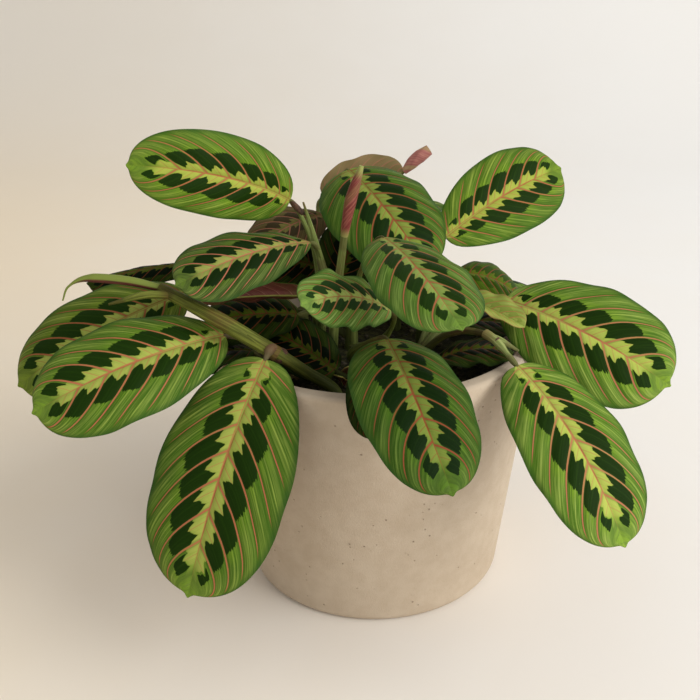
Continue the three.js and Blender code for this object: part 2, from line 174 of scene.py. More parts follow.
class Shader:
    """A material's node tree, written as expressions."""

    def __init__(self, name: str) -> None:
        """Starts an empty material of this name."""
        self.material = bpy.data.materials.new(name)
        self.material.use_nodes = True
        self.tree = self.material.node_tree
        self.tree.nodes.clear()

    def feed(self, socket: bpy.types.NodeSocket, value: Any) -> None:
        """Links a value to a socket, or sets the socket's own number or colour.

        Args:
            socket: The input that is fed.
            value: A Value, a number, a colour of three numbers or a vector.
        """
        if isinstance(value, Value):
            self.tree.links.new(value.socket, socket)
        elif isinstance(value, tuple) and socket.type == "RGBA":
            socket.default_value = (*value, 1.0)
        else:
            socket.default_value = value

    def add(
        self,
        kind: str,
        settings: dict[str, Any] | None = None,
        inputs: dict[str | int, Any] | None = None,
    ) -> bpy.types.Node:
        """Adds a node, sets it and feeds it.

        Args:
            kind: The node's type, without its common beginning.
            settings: What is set on the node first; "points" are a curve's corners.
            inputs: Values or links of its sockets, by name or number.

        Returns:
            The node.
        """
        made = self.tree.nodes.new("ShaderNode" + kind)
        for key, value in (settings or {}).items():
            if key == "points":
                self._draw_curve(made.mapping, value)
            else:
                setattr(made, key, value)
        for key, value in (inputs or {}).items():
            self.feed(made.inputs[key], value)
        return made

    def node(
        self,
        kind: str,
        settings: dict[str, Any] | None = None,
        inputs: dict[str | int, Any] | None = None,
        output: str | int = 0,
    ) -> Value:
        """Adds a node and hands back one of its outputs, by name or number."""
        return Value(self, self.add(kind, settings, inputs).outputs[output])

    @staticmethod
    def _draw_curve(mapping: bpy.types.CurveMapping, points: Sequence[tuple[float, float]]) -> None:
        """Draws a curve with straight stretches between its corners.

        Args:
            mapping: The curve node's mapping.
            points: The corners, first and last at 0 and 1.
        """
        curve = mapping.curves[0]
        for place, height in points[1:-1]:
            curve.points.new(place, height)
        curve.points[0].location = points[0]
        curve.points[-1].location = points[-1]
        for point in curve.points:
            point.handle_type = "VECTOR"
        mapping.update()

    def maths(self, operation: str, *values: Number) -> Value:
        """One Math node on one to three numbers."""
        return self.node("Math", {"operation": operation}, dict(enumerate(values)))

    def step(self, low: Number, high: Number, value: Number) -> Value:
        """A smooth step from 0 at low to 1 at high; it falls if low is above high."""
        settings = {"interpolation_type": "SMOOTHSTEP"}
        return self.node("MapRange", settings, {0: value, 1: low, 2: high})

    def mix(self, factor: Number, first: Any, second: Any, blend: str = "MIX") -> Value:
        """Mixes two colours, or lays the second on the first in another blend."""
        settings = {"data_type": "RGBA", "blend_type": blend}
        return self.node("Mix", settings, {0: factor, 6: first, 7: second}, 2)

    def vector(self, x: Number, y: Number, z: Number = 0.0) -> Value:
        """A vector of three numbers."""
        return self.node("CombineXYZ", None, {0: x, 1: y, 2: z})

    def noise(self, vector: Value, scale: float, detail: float = 2.0, roughness: float = 0.5) -> Value:
        """Soft noise from 0 to 1 at a vector."""
        inputs = {"Vector": vector, "Scale": scale, "Detail": detail, "Roughness": roughness}
        return self.node("TexNoise", None, inputs)

    def place(self) -> Value:
        """The point of the surface, in metres."""
        return self.node("TexCoord", None, None, "Object")

    def split(self, vector: Value) -> tuple[Value, Value, Value]:
        """The three numbers of a vector."""
        x, y, z = self.add("SeparateXYZ", None, {0: vector}).outputs
        return Value(self, x), Value(self, y), Value(self, z)

    def pair(self, layer: str) -> tuple[Value, Value]:
        """The two numbers that a UV layer holds."""
        first, second, _ = self.split(self.node("UVMap", {"uv_map": layer}))
        return first, second

    def surface(
        self,
        colour: Any,
        roughness: Any,
        height: Value | None = None,
        relief: float = 0.0,
        **constants: float,
    ) -> bpy.types.Material:
        """Ends the material in one Principled surface.

        Args:
            colour: The base colour.
            roughness: The roughness.
            height: What the fine relief follows, from 0 to 1.
            relief: The relief's depth in metres.
            constants: Other sockets that stay the same all over, by name with _ for a space.

        Returns:
            The finished material.
        """
        inputs: dict[str | int, Any] = {"Base Color": colour, "Roughness": roughness}
        for key, value in constants.items():
            inputs[key.replace("_", " ")] = value
        if height is not None:
            inputs["Normal"] = self.node("Bump", None, {"Height": height, "Distance": relief})
        self.add("OutputMaterial", None, {"Surface": self.node("BsdfPrincipled", None, inputs)})
        return self.material


@dataclass(frozen=True)
class Palette:
    """The colours of one leaf."""

    patch: Colour = (0.009, 0.027, 0.0015)
    outer: Colour = (0.042, 0.108, 0.007)
    light: Colour = (0.260, 0.340, 0.060)
    fresh: Colour = (0.110, 0.225, 0.007)
    band: Colour = (0.350, 0.395, 0.078)
    vein: Colour = (0.420, 0.130, 0.062)
    # The dark green of the margin, also laid beside the veins as painted shade.
    margin: Colour = (0.024, 0.066, 0.012)
    back: Colour = (0.120, 0.028, 0.020)
    back_vein: Colour = (0.300, 0.130, 0.075)


class Tone(Enum):
    """How a leaf is coloured, by its age and place; some tones are lighter or darker copies of the plain
    colours, as painted light and shade.
    """

    PLAIN = Palette()
    # Painted light: the plain colours lightened for the upper leaves that the light falls on and shines
    # through.
    LIT = Palette(
        outer=(0.052, 0.128, 0.007),
        light=(0.270, 0.350, 0.055),
        fresh=(0.145, 0.275, 0.006),
        band=(0.350, 0.390, 0.062),
        vein=(0.370, 0.115, 0.050),
    )
    # Painted light: a lighter copy for the leaves on the lit right side.
    SUNNY = Palette(
        outer=(0.060, 0.148, 0.010),
        light=(0.330, 0.430, 0.085),
        fresh=(0.195, 0.350, 0.010),
        band=(0.420, 0.480, 0.090),
        vein=(0.440, 0.150, 0.075),
    )
    # Painted shade: a copy darkened for a leaf in half shade.
    SOFT = Palette(
        patch=(0.006, 0.020, 0.002),
        outer=(0.030, 0.076, 0.006),
        light=(0.150, 0.225, 0.038),
        fresh=(0.076, 0.165, 0.005),
        band=(0.210, 0.265, 0.046),
        vein=(0.240, 0.068, 0.028),
    )
    # Painted shade: a darker copy for leaves in the shade of others.
    SHADED = Palette(
        patch=(0.005, 0.017, 0.002),
        outer=(0.025, 0.066, 0.005),
        light=(0.135, 0.205, 0.036),
        fresh=(0.066, 0.155, 0.005),
        band=(0.180, 0.230, 0.040),
        vein=(0.245, 0.062, 0.026),
    )
    PINK = Palette(
        patch=(0.006, 0.018, 0.002),
        outer=(0.025, 0.052, 0.007),
        light=(0.165, 0.220, 0.050),
        fresh=(0.085, 0.160, 0.008),
        band=(0.270, 0.295, 0.068),
        vein=(0.420, 0.130, 0.078),
    )
    # Greyer greens laid into the colour as a painted sheen, a soft grey reflection.
    SHEEN_GREY = Palette(
        outer=(0.044, 0.098, 0.010),
        light=(0.200, 0.290, 0.062),
        fresh=(0.095, 0.195, 0.014),
        band=(0.210, 0.285, 0.062),
        vein=(0.320, 0.100, 0.044),
    )
    YOUNG = Palette(
        patch=(0.016, 0.045, 0.008),
        outer=(0.075, 0.165, 0.020),
        light=(0.330, 0.450, 0.120),
        fresh=(0.170, 0.320, 0.030),
        band=(0.380, 0.480, 0.120),
        vein=(0.400, 0.150, 0.060),
    )
    FAR = Palette(
        outer=(0.055, 0.100, 0.008),
        light=(0.240, 0.290, 0.055),
        fresh=(0.120, 0.200, 0.008),
        band=(0.300, 0.345, 0.070),
        vein=(0.270, 0.085, 0.035),
    )
    DARK = Palette(
        patch=(0.026, 0.060, 0.002),
        outer=(0.042, 0.088, 0.003),
        light=(0.095, 0.150, 0.012),
        fresh=(0.062, 0.125, 0.003),
        band=(0.090, 0.150, 0.010),
        vein=(0.190, 0.055, 0.020),
        margin=(0.025, 0.055, 0.003),
    )
    # Painted shade: a near-black copy for the leaves hidden inside the crown.
    DEEP_SHADE = Palette(
        patch=(0.002, 0.006, 0.001),
        outer=(0.010, 0.022, 0.002),
        light=(0.045, 0.070, 0.006),
        fresh=(0.020, 0.042, 0.002),
        band=(0.060, 0.090, 0.006),
        vein=(0.120, 0.032, 0.014),
        margin=(0.006, 0.014, 0.002),
        back=(0.045, 0.012, 0.008),
    )
    RUSSET = Palette(
        patch=(0.040, 0.030, 0.012),
        outer=(0.085, 0.062, 0.022),
        light=(0.150, 0.120, 0.044),
        fresh=(0.085, 0.080, 0.016),
        band=(0.125, 0.130, 0.030),
        vein=(0.320, 0.115, 0.075),
        margin=(0.080, 0.050, 0.022),
    )
    LIME = Palette(
        patch=(0.240, 0.300, 0.055),
        outer=(0.270, 0.330, 0.060),
        light=(0.380, 0.440, 0.120),
        fresh=(0.270, 0.370, 0.050),
        band=(0.360, 0.420, 0.100),
        vein=(0.450, 0.190, 0.070),
        margin=(0.330, 0.180, 0.070),
    )
    OLIVE = Palette(
        patch=(0.16, 0.15, 0.055),
        outer=(0.20, 0.20, 0.065),
        light=(0.34, 0.33, 0.13),
        fresh=(0.22, 0.24, 0.06),
        band=(0.30, 0.33, 0.10),
        vein=(0.46, 0.16, 0.11),
        margin=(0.28, 0.14, 0.09),
        back=(0.25, 0.18, 0.075),
        back_vein=(0.44, 0.17, 0.11),
    )


class Grain:
    """Where a point of an upper face lies among the veins, and the noises that run with them."""

    def __init__(self, sh: Shader, seed: float) -> None:
        """Reads the blade's layers and adds the noises.

        Args:
            sh: The face's shader.
            seed: The leaf's own number.
        """
        self.sh = sh
        self.strand, across = sh.pair("veins")
        self.reach, self.gap = sh.pair("place")
        self.run, _ = sh.pair("run")
        self.q = sh.maths("ABSOLUTE", across)
        self.side = sh.maths("SIGN", across)
        self.half = self.side + seed
        self.wander = sh.noise(sh.vector(self.strand * 0.8, self.q * 2.5, self.half), 1.0, 2)
        self.s = self.strand + (self.wander - 0.5) * 0.08
        self.f = sh.maths("FRACT", self.s + CELL_SHIFT)
        self.cell = sh.maths("FLOOR", self.s + CELL_SHIFT)
        self.middle = sh.maths("ABSOLUTE", self.f - 0.5)
        patch = sh.vector(self.cell, self.side, seed)
        self.chance = sh.node("TexWhiteNoise", {"noise_dimensions": "3D"}, {0: patch})
        self.fine = self.streaky(13.0, 2.2, 1.0, 2, 0.6)
        self.hair = self.streaky(34.0, 3.5, 2.0, 2, 0.6)
        self.broad = self.streaky(5.0, 1.2, 3.0, 2, 0.5)
        self.cloud = sh.noise(sh.place(), 38.0, 3)
        streaks = sh.step(0.44, 0.58, self.fine) * 0.6 + sh.step(0.45, 0.60, self.hair) * 0.3
        self.streaks = streaks + sh.step(0.38, 0.62, self.broad) * 0.3

    def streaky(self, from_vein: float, outward: float, shift: float, detail: int, roughness: float) -> Value:
        """Noise in streaks that run with the veins.

        Args:
            from_vein: How fine it is from one vein to the next.
            outward: How fine it is from midrib to margin.
            shift: What sets it apart from the other noises.
            detail: How many finer noises it holds.
            roughness: How strong those are.

        Returns:
            The noise, from 0 to 1.
        """
        where = self.sh.vector(self.s * from_vein, self.q * outward, self.half * shift)
        return self.sh.noise(where, 1.0, detail, roughness)


@dataclass(frozen=True)
class UpperFace:
    """A blade's upper face: lime band, dark patches between red veins, and a striped outer zone."""

    name: str
    palette: Palette
    seed: float
    size: float
    veins: int = 8

    def material(self) -> bpy.types.Material:
        """Builds the face's nodes from its vein, place and run layers.

        Returns:
            The material.
        """
        sh = Shader(self.name)
        grain = Grain(sh, self.seed)
        edge = self.band_edge(grain)
        fading = sh.step(self.veins - 0.5, self.veins - 2.0, grain.strand)
        band = sh.step(edge + 0.008, edge - 0.008, grain.q)
        band = band * sh.step(0.0, 1.0, fading * 1.5 - grain.fine * 0.5)
        outer_end, patch = self.patches(grain, edge)
        # Painted sheen: the dark patches lighten along the crease in the middle of each cell, and in fine
        # streaks.
        crease = sh.step(0.06, 0.0, grain.middle) * 0.5 + sh.step(0.5, 0.72, grain.fine) * 0.5
        dark = sh.mix(crease * 0.16, self.palette.patch, self.palette.outer)
        colour = sh.mix(patch, self.outer_zone(grain, outer_end), dark)
        colour = sh.mix(band, colour, self.lime(grain, edge))
        colour = self.lay_veins(grain, colour, edge, fading)
        colour = self.lay_midrib(grain, colour)
        roughness = 0.56 - grain.streaks * 0.06
        height = grain.fine * 0.6 + grain.hair * 0.4
        return sh.surface(colour, roughness, height, 0.00014, IOR=1.4, Specular_IOR_Level=0.07)

    def band_edge(self, grain: Grain) -> Value:
        """How far across the lime band reaches: toothed, and wide at the blade's base."""
        sh = grain.sh
        teeth = sh.maths("PINGPONG", grain.s * 3.6 + grain.wander * 2.0, 0.5)
        jag = sh.noise(sh.vector(grain.s * 9.0, self.seed, grain.side), 1.0, 3, 0.6)
        edge = sh.node("FloatCurve", {"points": BAND_OUTLINE}, {1: grain.f})
        edge = edge + (teeth - 0.25) * 0.06 + (jag - 0.5) * 0.05
        return edge + sh.step(0.13, 0.0, grain.run) * 0.26

    def patches(self, grain: Grain, edge: Value) -> tuple[Value, Value]:
        """The dark patches between the veins, each of its own size.

        Args:
            grain: The point's place among the veins.
            edge: How far across the lime band reaches.

        Returns:
            How far across a patch reaches, and the patches' mask.
        """
        sh = grain.sh
        centre = (grain.cell - (CELL_SHIFT - 0.5)) / self.veins
        full = sh.node("FloatCurve", {"points": PATCH_SIZES}, {1: centre}) * (grain.chance * 0.25 + 0.85)
        full = sh.maths("MINIMUM", full, 1.0)
        fringe = grain.streaky(13.0, 0.5, 5.0, 3, 0.65)
        outer_end = full * 0.22 + 0.34 - 0.10 * grain.f
        outer_end = outer_end + (grain.chance - 0.5) * 0.06 + (fringe - 0.5) * 0.13
        inner_end = edge - 0.06 + sh.step(0.6, 0.2, full) * 0.16
        along = sh.maths("ABSOLUTE", (grain.q - inner_end) / (outer_end - inner_end) * 2.0 - 1.0)
        opening = grain.middle / (full * 0.26 + 0.22)
        return outer_end, sh.step(1.08, 0.92, along**5.0 + opening**5.0) * sh.step(0.1, 0.16, full)

    def outer_zone(self, grain: Grain, outer_end: Value) -> Value:
        """The striped green from the patches to the margin.

        Args:
            grain: The point's place among the veins.
            outer_end: How far across a patch reaches.

        Returns:
            The zone's colour.
        """
        sh, leaf, q, run = grain.sh, self.palette, grain.q, grain.run
        # Streaks show most in the middle of each cell and least by the veins: partly the leaf's own striping,
        # partly painted shade of the quilted relief.
        between = sh.step(0.5, 0.2, grain.middle)
        mid_line = sh.step(0.055, 0.02, grain.middle) * sh.step(0.34, 0.5, q) * sh.step(0.98, 0.8, q)
        glow = sh.step(0.82, 1.0, run) * 0.35 + sh.step(0.13, 0.0, run) * 0.5
        lightness = grain.streaks * (between * 0.40 + 0.13) + mid_line * (grain.fine * 0.7 + 0.15)
        lightness = sh.maths("MINIMUM", lightness + glow * (1.0 - q * 0.6), 1.0)
        beyond = sh.step(0.20, 0.0, q - outer_end) * sh.step(0.5, 0.25, grain.middle)
        beyond = beyond * sh.step(0.35, 0.6, grain.fine)
        colour = sh.mix(lightness, leaf.outer, leaf.light)
        colour = sh.mix(beyond * 0.55, colour, leaf.fresh)
        colour = sh.mix(sh.step(0.88, 1.0, q) * 0.7, colour, leaf.margin)
        return sh.mix(sh.step(0.44, 0.66, grain.cloud) * 0.22, colour, leaf.margin)

    def lime(self, grain: Grain, edge: Value) -> Value:
        """The band's own colour, greener in fine streaks and along its edge."""
        sh, leaf = grain.sh, self.palette
        colour = sh.mix(sh.step(0.35, 0.75, grain.broad) * 0.30, leaf.band, leaf.light)
        colour = sh.mix(sh.step(0.45, 0.75, grain.hair) * 0.28, colour, leaf.fresh)
        return sh.mix(sh.step(0.05, 0.0, edge - grain.q) * 0.25, colour, leaf.fresh)

    def lay_veins(self, grain: Grain, colour: Value, edge: Value, fading: Value) -> Value:
        """Lays the red veins with their soft shadows, and the short side veins in the band.

        Args:
            grain: The point's place among the veins.
            colour: What lies below them.
            edge: How far across the lime band reaches.
            fading: 1 where the band is whole, 0 where it has ended.

        Returns:
            The colour with its veins.
        """
        sh, leaf, size, q = grain.sh, self.palette, self.size, grain.q
        width = ((1.0 - q) * 0.30 + 0.17) * size
        off_vein = (0.5 - grain.middle) * grain.gap
        last = sh.step(self.veins - 1.4, self.veins - 1.6, grain.strand)
        shown = sh.step(0.94, 0.78, q) * sh.step(0.005, 0.04, grain.run) * last
        vein = sh.step(width * 1.2, width * 0.75, off_vein) * shown
        # Painted shade: a soft dark line beside each vein.
        shadow = sh.step(width * 3.2, width * 1.1, off_vein) * shown * 0.35
        crossing = sh.maths("ABSOLUTE", grain.f - 0.40) * grain.gap
        side_vein = sh.step(0.28 * size, 0.12 * size, crossing) * sh.step(edge + 0.01, edge - 0.03, q)
        red = sh.mix(sh.step(0.4, 0.8, grain.cloud) * 0.25, leaf.vein, leaf.light)
        colour = sh.mix(shadow, colour, leaf.margin)
        colour = sh.mix(side_vein * fading * 0.55, colour, red)
        return sh.mix(vein, colour, red)

    def lay_midrib(self, grain: Grain, colour: Value) -> Value:
        """Lays the midrib: two fine red lines, and between them a core that reddens to the tip."""
        sh, leaf, reach, run = grain.sh, self.palette, grain.reach, grain.run
        rib = (0.85 - run * 0.55) * self.size
        core = sh.mix(sh.step(0.25, 0.50, run + (grain.cloud - 0.5) * 0.3), leaf.light, leaf.vein)
        lines = sh.step(rib * 1.1, rib * 0.8, reach) * sh.step(rib * 0.3, rib * 0.5, reach)
        colour = sh.mix(lines * sh.step(0.9, 0.6, run) * 0.8, colour, leaf.vein)
        heart = sh.step(rib * 0.55, rib * 0.3, reach) * sh.step(0.98, 0.75, run)
        return sh.mix(heart * 0.9, colour, core)


@dataclass(frozen=True)
class LowerFace:
    """A blade's lower face: dull maroon with a green cast, and raised pale ribs."""

    name: str
    palette: Palette
    seed: float
    size: float

    def material(self) -> bpy.types.Material:
        """Builds the face's nodes from its vein and place layers.

        Returns:
            The material.
        """
        sh = Shader(self.name)
        strand, across = sh.pair("veins")
        reach, gap = sh.pair("place")
        q = sh.maths("ABSOLUTE", across)
        side = sh.maths("SIGN", across)
        f = sh.maths("FRACT", strand + CELL_SHIFT)
        middle = sh.maths("ABSOLUTE", f - 0.5)
        fine = sh.noise(sh.vector(strand * 22.0, q * 1.6, side + self.seed), 1.0, 3, 0.6)
        cloud = sh.noise(sh.place(), 45.0, 3)
        colour = sh.mix(sh.step(0.35, 0.7, cloud) * 0.4, self.palette.back, self.palette.outer)
        colour = sh.mix(sh.step(0.45, 0.7, fine) * 0.35, colour, self.palette.back_vein)
        vein = sh.step(0.55 * self.size, 0.2 * self.size, (0.5 - middle) * gap) * sh.step(0.98, 0.7, q)
        colour = sh.mix(vein * 0.7, colour, self.palette.back_vein)
        rib = sh.step(1.3 * self.size, 0.8 * self.size, reach)
        colour = sh.mix(rib * 0.7, colour, self.palette.band)
        return sh.surface(colour, 0.55, fine, 0.00012, Specular_IOR_Level=0.25)


def make_object(
    name: str,
    vertices: Any,
    faces: Sequence[tuple[int, ...]],
    slots: Sequence[int] = (),
    layers: dict[str, Any] | None = None,
    materials: Sequence[bpy.types.Material] = (),
    crease: float | None = None,
    smooth: bool = True,
    unit: float = MM,
) -> bpy.types.Object:
    """Makes an object of points and faces.

    Args:
        name: The name of the object and its mesh.
        vertices: The points.
        faces: Each face's vertex numbers.
        slots: Each face's material slot, or none where all have the first.
        layers: UV layers by name, with a pair of numbers for each corner of each face.
        materials: One for each slot.
        crease: The angle in degrees above which an edge stays sharp.
        smooth: Whether the faces are shaded smooth.
        unit: The size in metres of one unit of the points.

    Returns:
        The object.
    """
    mesh = bpy.data.meshes.new(name)
    mesh.from_pydata((np.array(vertices) * unit).tolist(), [], faces)
    mesh.polygons.foreach_set("use_smooth", [smooth] * len(faces))
    if slots:
        mesh.polygons.foreach_set("material_index", slots)
    for key, pairs in (layers or {}).items():
        layer = mesh.uv_layers.new(name=key)
        layer.data.foreach_set("uv", np.array(pairs, np.float32).ravel())
    if crease is not None:
        mesh.set_sharp_from_angle(angle=math.radians(crease))
    for material in materials:
        mesh.materials.append(material)
    return bpy.data.objects.new(name, mesh)


def wall_faces(start: int, rings: int, sides: int, inward: bool = False) -> list[tuple[int, ...]]:
    """The quads between rings of vertices that follow one another.

    Args:
        start: The number of the first ring's first vertex.
        rings: How many rings there are.
        sides: How many vertices a ring has.
        inward: Whether the quads face the other way.

    Returns:
        The quads, ring by ring.
    """
    faces: list[tuple[int, ...]] = []
    for low in range(start, start + (rings - 1) * sides, sides):
        for side in range(sides):
            following = (side + 1) % sides
            quad = (low + side, low + following, low + sides + following, low + sides + side)
            faces.append((quad[0], *quad[:0:-1]) if inward else quad)
    return faces


def circle(sides: int) -> np.ndarray:
    """The angles of the corners of a ring."""
    return np.arange(sides) * FULL_TURN / sides


def sweep(across: np.ndarray, bend: np.ndarray | float, lean: float) -> np.ndarray:
    """How many times faster a line that leaves the midrib nears the tip, by fractions across."""
    return 1 + lean * across + bend * across**3


@dataclass(frozen=True)
class Blade:
    """One open leaf: base and tip of its midrib, its width, and how it is bent.

    The bends are bow, sway, roll, fold, curl and wave, as in the plant's solids.
    """

    name: str
    base: Point
    tip: Point
    width: float
    bends: tuple[float, float, float, float, float, float]
    broadest: float = BLADE_BROADEST
    tone: Tone = Tone.PLAIN
    veins: int = 8
    lean: float = VEIN_LEAN
    stagger: int = 1

    @property
    def seed(self) -> float:
        """A number of the leaf's own, from its place."""
        return (self.base[0] * 0.37 + self.tip[1] * 0.11 + self.tip[2] * 0.05) % 19.0 + 1.0

    def axes(self) -> tuple[np.ndarray, ...]:
        """The blade's start, chord, right and up directions.

        Returns:
            Four vectors.
        """
        start = np.array(self.base, float)
        chord = np.array(self.tip, float) - start
        along = chord / np.linalg.norm(chord)
        level = np.array((0.0, 0.0, 1.0)) - along * along[2]
        level /= np.linalg.norm(level)
        turn = Matrix.Rotation(math.radians(self.bends[2]), 3, Vector(along))
        up = np.array(turn @ Vector(level))
        return start, chord, np.cross(along, up), up

    def half_width(self, a: np.ndarray) -> np.ndarray:
        """Half the blade's width at fractions of its length."""
        evened = a ** (math.log(0.5) / math.log(self.broadest))
        narrowing = np.abs(2 * evened - 1) ** BLADE_FULLNESS
        return self.width / 2 * np.clip(1 - narrowing, 0, None) ** (1 / BLADE_FULLNESS)

    def midrib(self, a: np.ndarray) -> tuple[np.ndarray, np.ndarray]:
        """Points and directions of the midrib.

        Args:
            a: Fractions of its length.

        Returns:
            The points and the unit directions.
        """
        start, chord, right, up = self.axes()
        bow, sway = self.bends[:2]
        arch = (4 * a * (1 - a))[..., None]
        slope = (4 * (1 - 2 * a))[..., None]
        point = start + chord * a[..., None] + up * bow * arch + right * sway * arch
        ahead = chord + up * bow * slope + right * sway * slope
        return point, ahead / np.linalg.norm(ahead, axis=-1, keepdims=True)

    def phase(self, a: np.ndarray, across: np.ndarray) -> np.ndarray:
        """How many veins leave the midrib before the line that runs through a point.

        Args:
            a: Fractions along the blade.
            across: Fractions from the midrib to the margin.

        Returns:
            The number of veins, from 0 at the base.
        """
        bend = VEIN_SWEEP + BASE_VEIN_SWEEP * np.exp(-a / BASE_VEIN_REACH)
        origin = 1 - (1 - a) ** (1 / sweep(across, bend, self.lean))
        return self.veins * origin**VEIN_CROWDING

    def surface(self, a: np.ndarray, v: np.ndarray, phase: np.ndarray) -> tuple[np.ndarray, np.ndarray]:
        """Points and normals of the blade's middle surface, quilted between its veins.

        Args:
            a: Fractions along the blade.
            v: Fractions across it, -1 to 1.
            phase: How far each point is from vein to vein.

        Returns:
            The points and the unit normals, in millimetres.
        """
        _, _, _, fold, curl, wave = self.bends
        _, _, right, _ = self.axes()
        side = np.sign(v)
        across = np.abs(v)
        point, ahead = self.midrib(a)
        up = np.cross(right, ahead)
        up /= np.linalg.norm(up, axis=-1, keepdims=True)
        out = np.cross(ahead, up)
        half = self.half_width(a)
        reach = across * half
        rise = np.radians(fold - curl * across / 2)
        tilt = np.radians(fold - curl * across)
        swing = FULL_TURN * WAVES_PER_BLADE * a + self.base[0] + side
        ripple = wave * across**3 * np.sin(swing) * np.sin(np.pi * a)
        lobe = LOBE_TO_WIDTH * self.width * across**2 * (1 - a) ** LOBE_FALLOFF
        lobe = lobe * np.clip(half / (0.2 * self.width), 0, 1)
        ends = np.sin(np.pi * np.clip(a, 0, 1)) ** 0.5
        pillow = 1 - np.abs(2 * (phase % 1.0) - 1) ** QUILT_FLATNESS
        belly = (4 * across * (1 - across)) ** 0.7
        quilt = QUILT_TO_WIDTH * self.width * pillow * belly * ends
        hem = HEM_TO_WIDTH * self.width * across**5 * np.sin(FULL_TURN * phase + self.seed) * ends
        groove = -GROOVE_DEPTH * np.exp(-((reach / GROOVE_REACH) ** 2)) * ends
        length = float(np.linalg.norm(np.subtract(self.tip, self.base)))
        nib = np.exp(-((reach / NIB_REACH) ** 2) - (1 - a) * length / NIB_LENGTH)
        nib = NIB_TO_WIDTH * self.width * nib
        point = point + out * (side * reach * np.cos(rise))[..., None]
        lift = reach * np.sin(rise) + ripple + quilt + hem + groove
        point = point + up * lift[..., None] + ahead * (nib - lobe)[..., None]
        normal = up * np.cos(tilt)[..., None] - out * (side * np.sin(tilt))[..., None]
        return point, normal

    def build(self) -> bpy.types.Object:
        """Makes the blade's mesh and its layers.

        Returns:
            The finished object.
        """
        count = STEPS_PER_VEIN * self.veins
        steps = np.array([*BASE_ROWS, *range(1, count), *(count - near for near in TIP_ROWS), count])
        rows = (steps / count) ** (1 / VEIN_CROWDING)
        columns = np.array([-q for q in reversed(COLUMNS)] + list(COLUMNS[1:]))
        u, v = np.meshgrid(rows, columns, indexing="ij")
        across = np.abs(v)
        a = 1 - (1 - u) ** sweep(across, ROW_SWEEP, self.lean)
        phase = self.phase(a, across)
        left = (v < 0) * self.stagger / STEPS_PER_VEIN
        strand = phase - FIRST_VEIN_STEP / STEPS_PER_VEIN - left
        middle, normal = self.surface(a, v, strand)
        thick = MARGIN_THICKNESS + (BLADE_THICKNESS - MARGIN_THICKNESS) * (1 - across**4)
        reach = across * self.half_width(a)
        keel = KEEL_DEPTH * (1 - a) * np.exp(-((reach / KEEL_REACH) ** 2)) * np.clip(a / KEEL_START, 0, 1)
        top = middle + normal * (thick / 2)[..., None]
        bottom = middle - normal * (thick / 2 + keel)[..., None]
        gap = self.vein_gap(middle, phase)
        layers = {"reach": reach, "gap": gap, "a": a, "v": v, "phase": phase}
        return BladeMesh(self, top, bottom, layers).make()

    @staticmethod
    def vein_gap(points: np.ndarray, phase: np.ndarray) -> np.ndarray:
        """The distance from vein to vein at each point of the grid.

        Args:
            points: The grid of points.
            phase: The number of veins before each point.

        Returns:
            Millimetres between veins that are one apart in phase.
        """
        by_row, by_column = np.gradient(points, axis=0), np.gradient(points, axis=1)
        rise_row, rise_column = np.gradient(phase, axis=0), np.gradient(phase, axis=1)
        area = np.linalg.norm(np.cross(by_row, by_column), axis=-1)
        level = by_row * rise_column[..., None] - by_column * rise_row[..., None]
        return np.minimum(area / np.maximum(np.linalg.norm(level, axis=-1), 1e-6), WIDEST_VEIN_GAP)


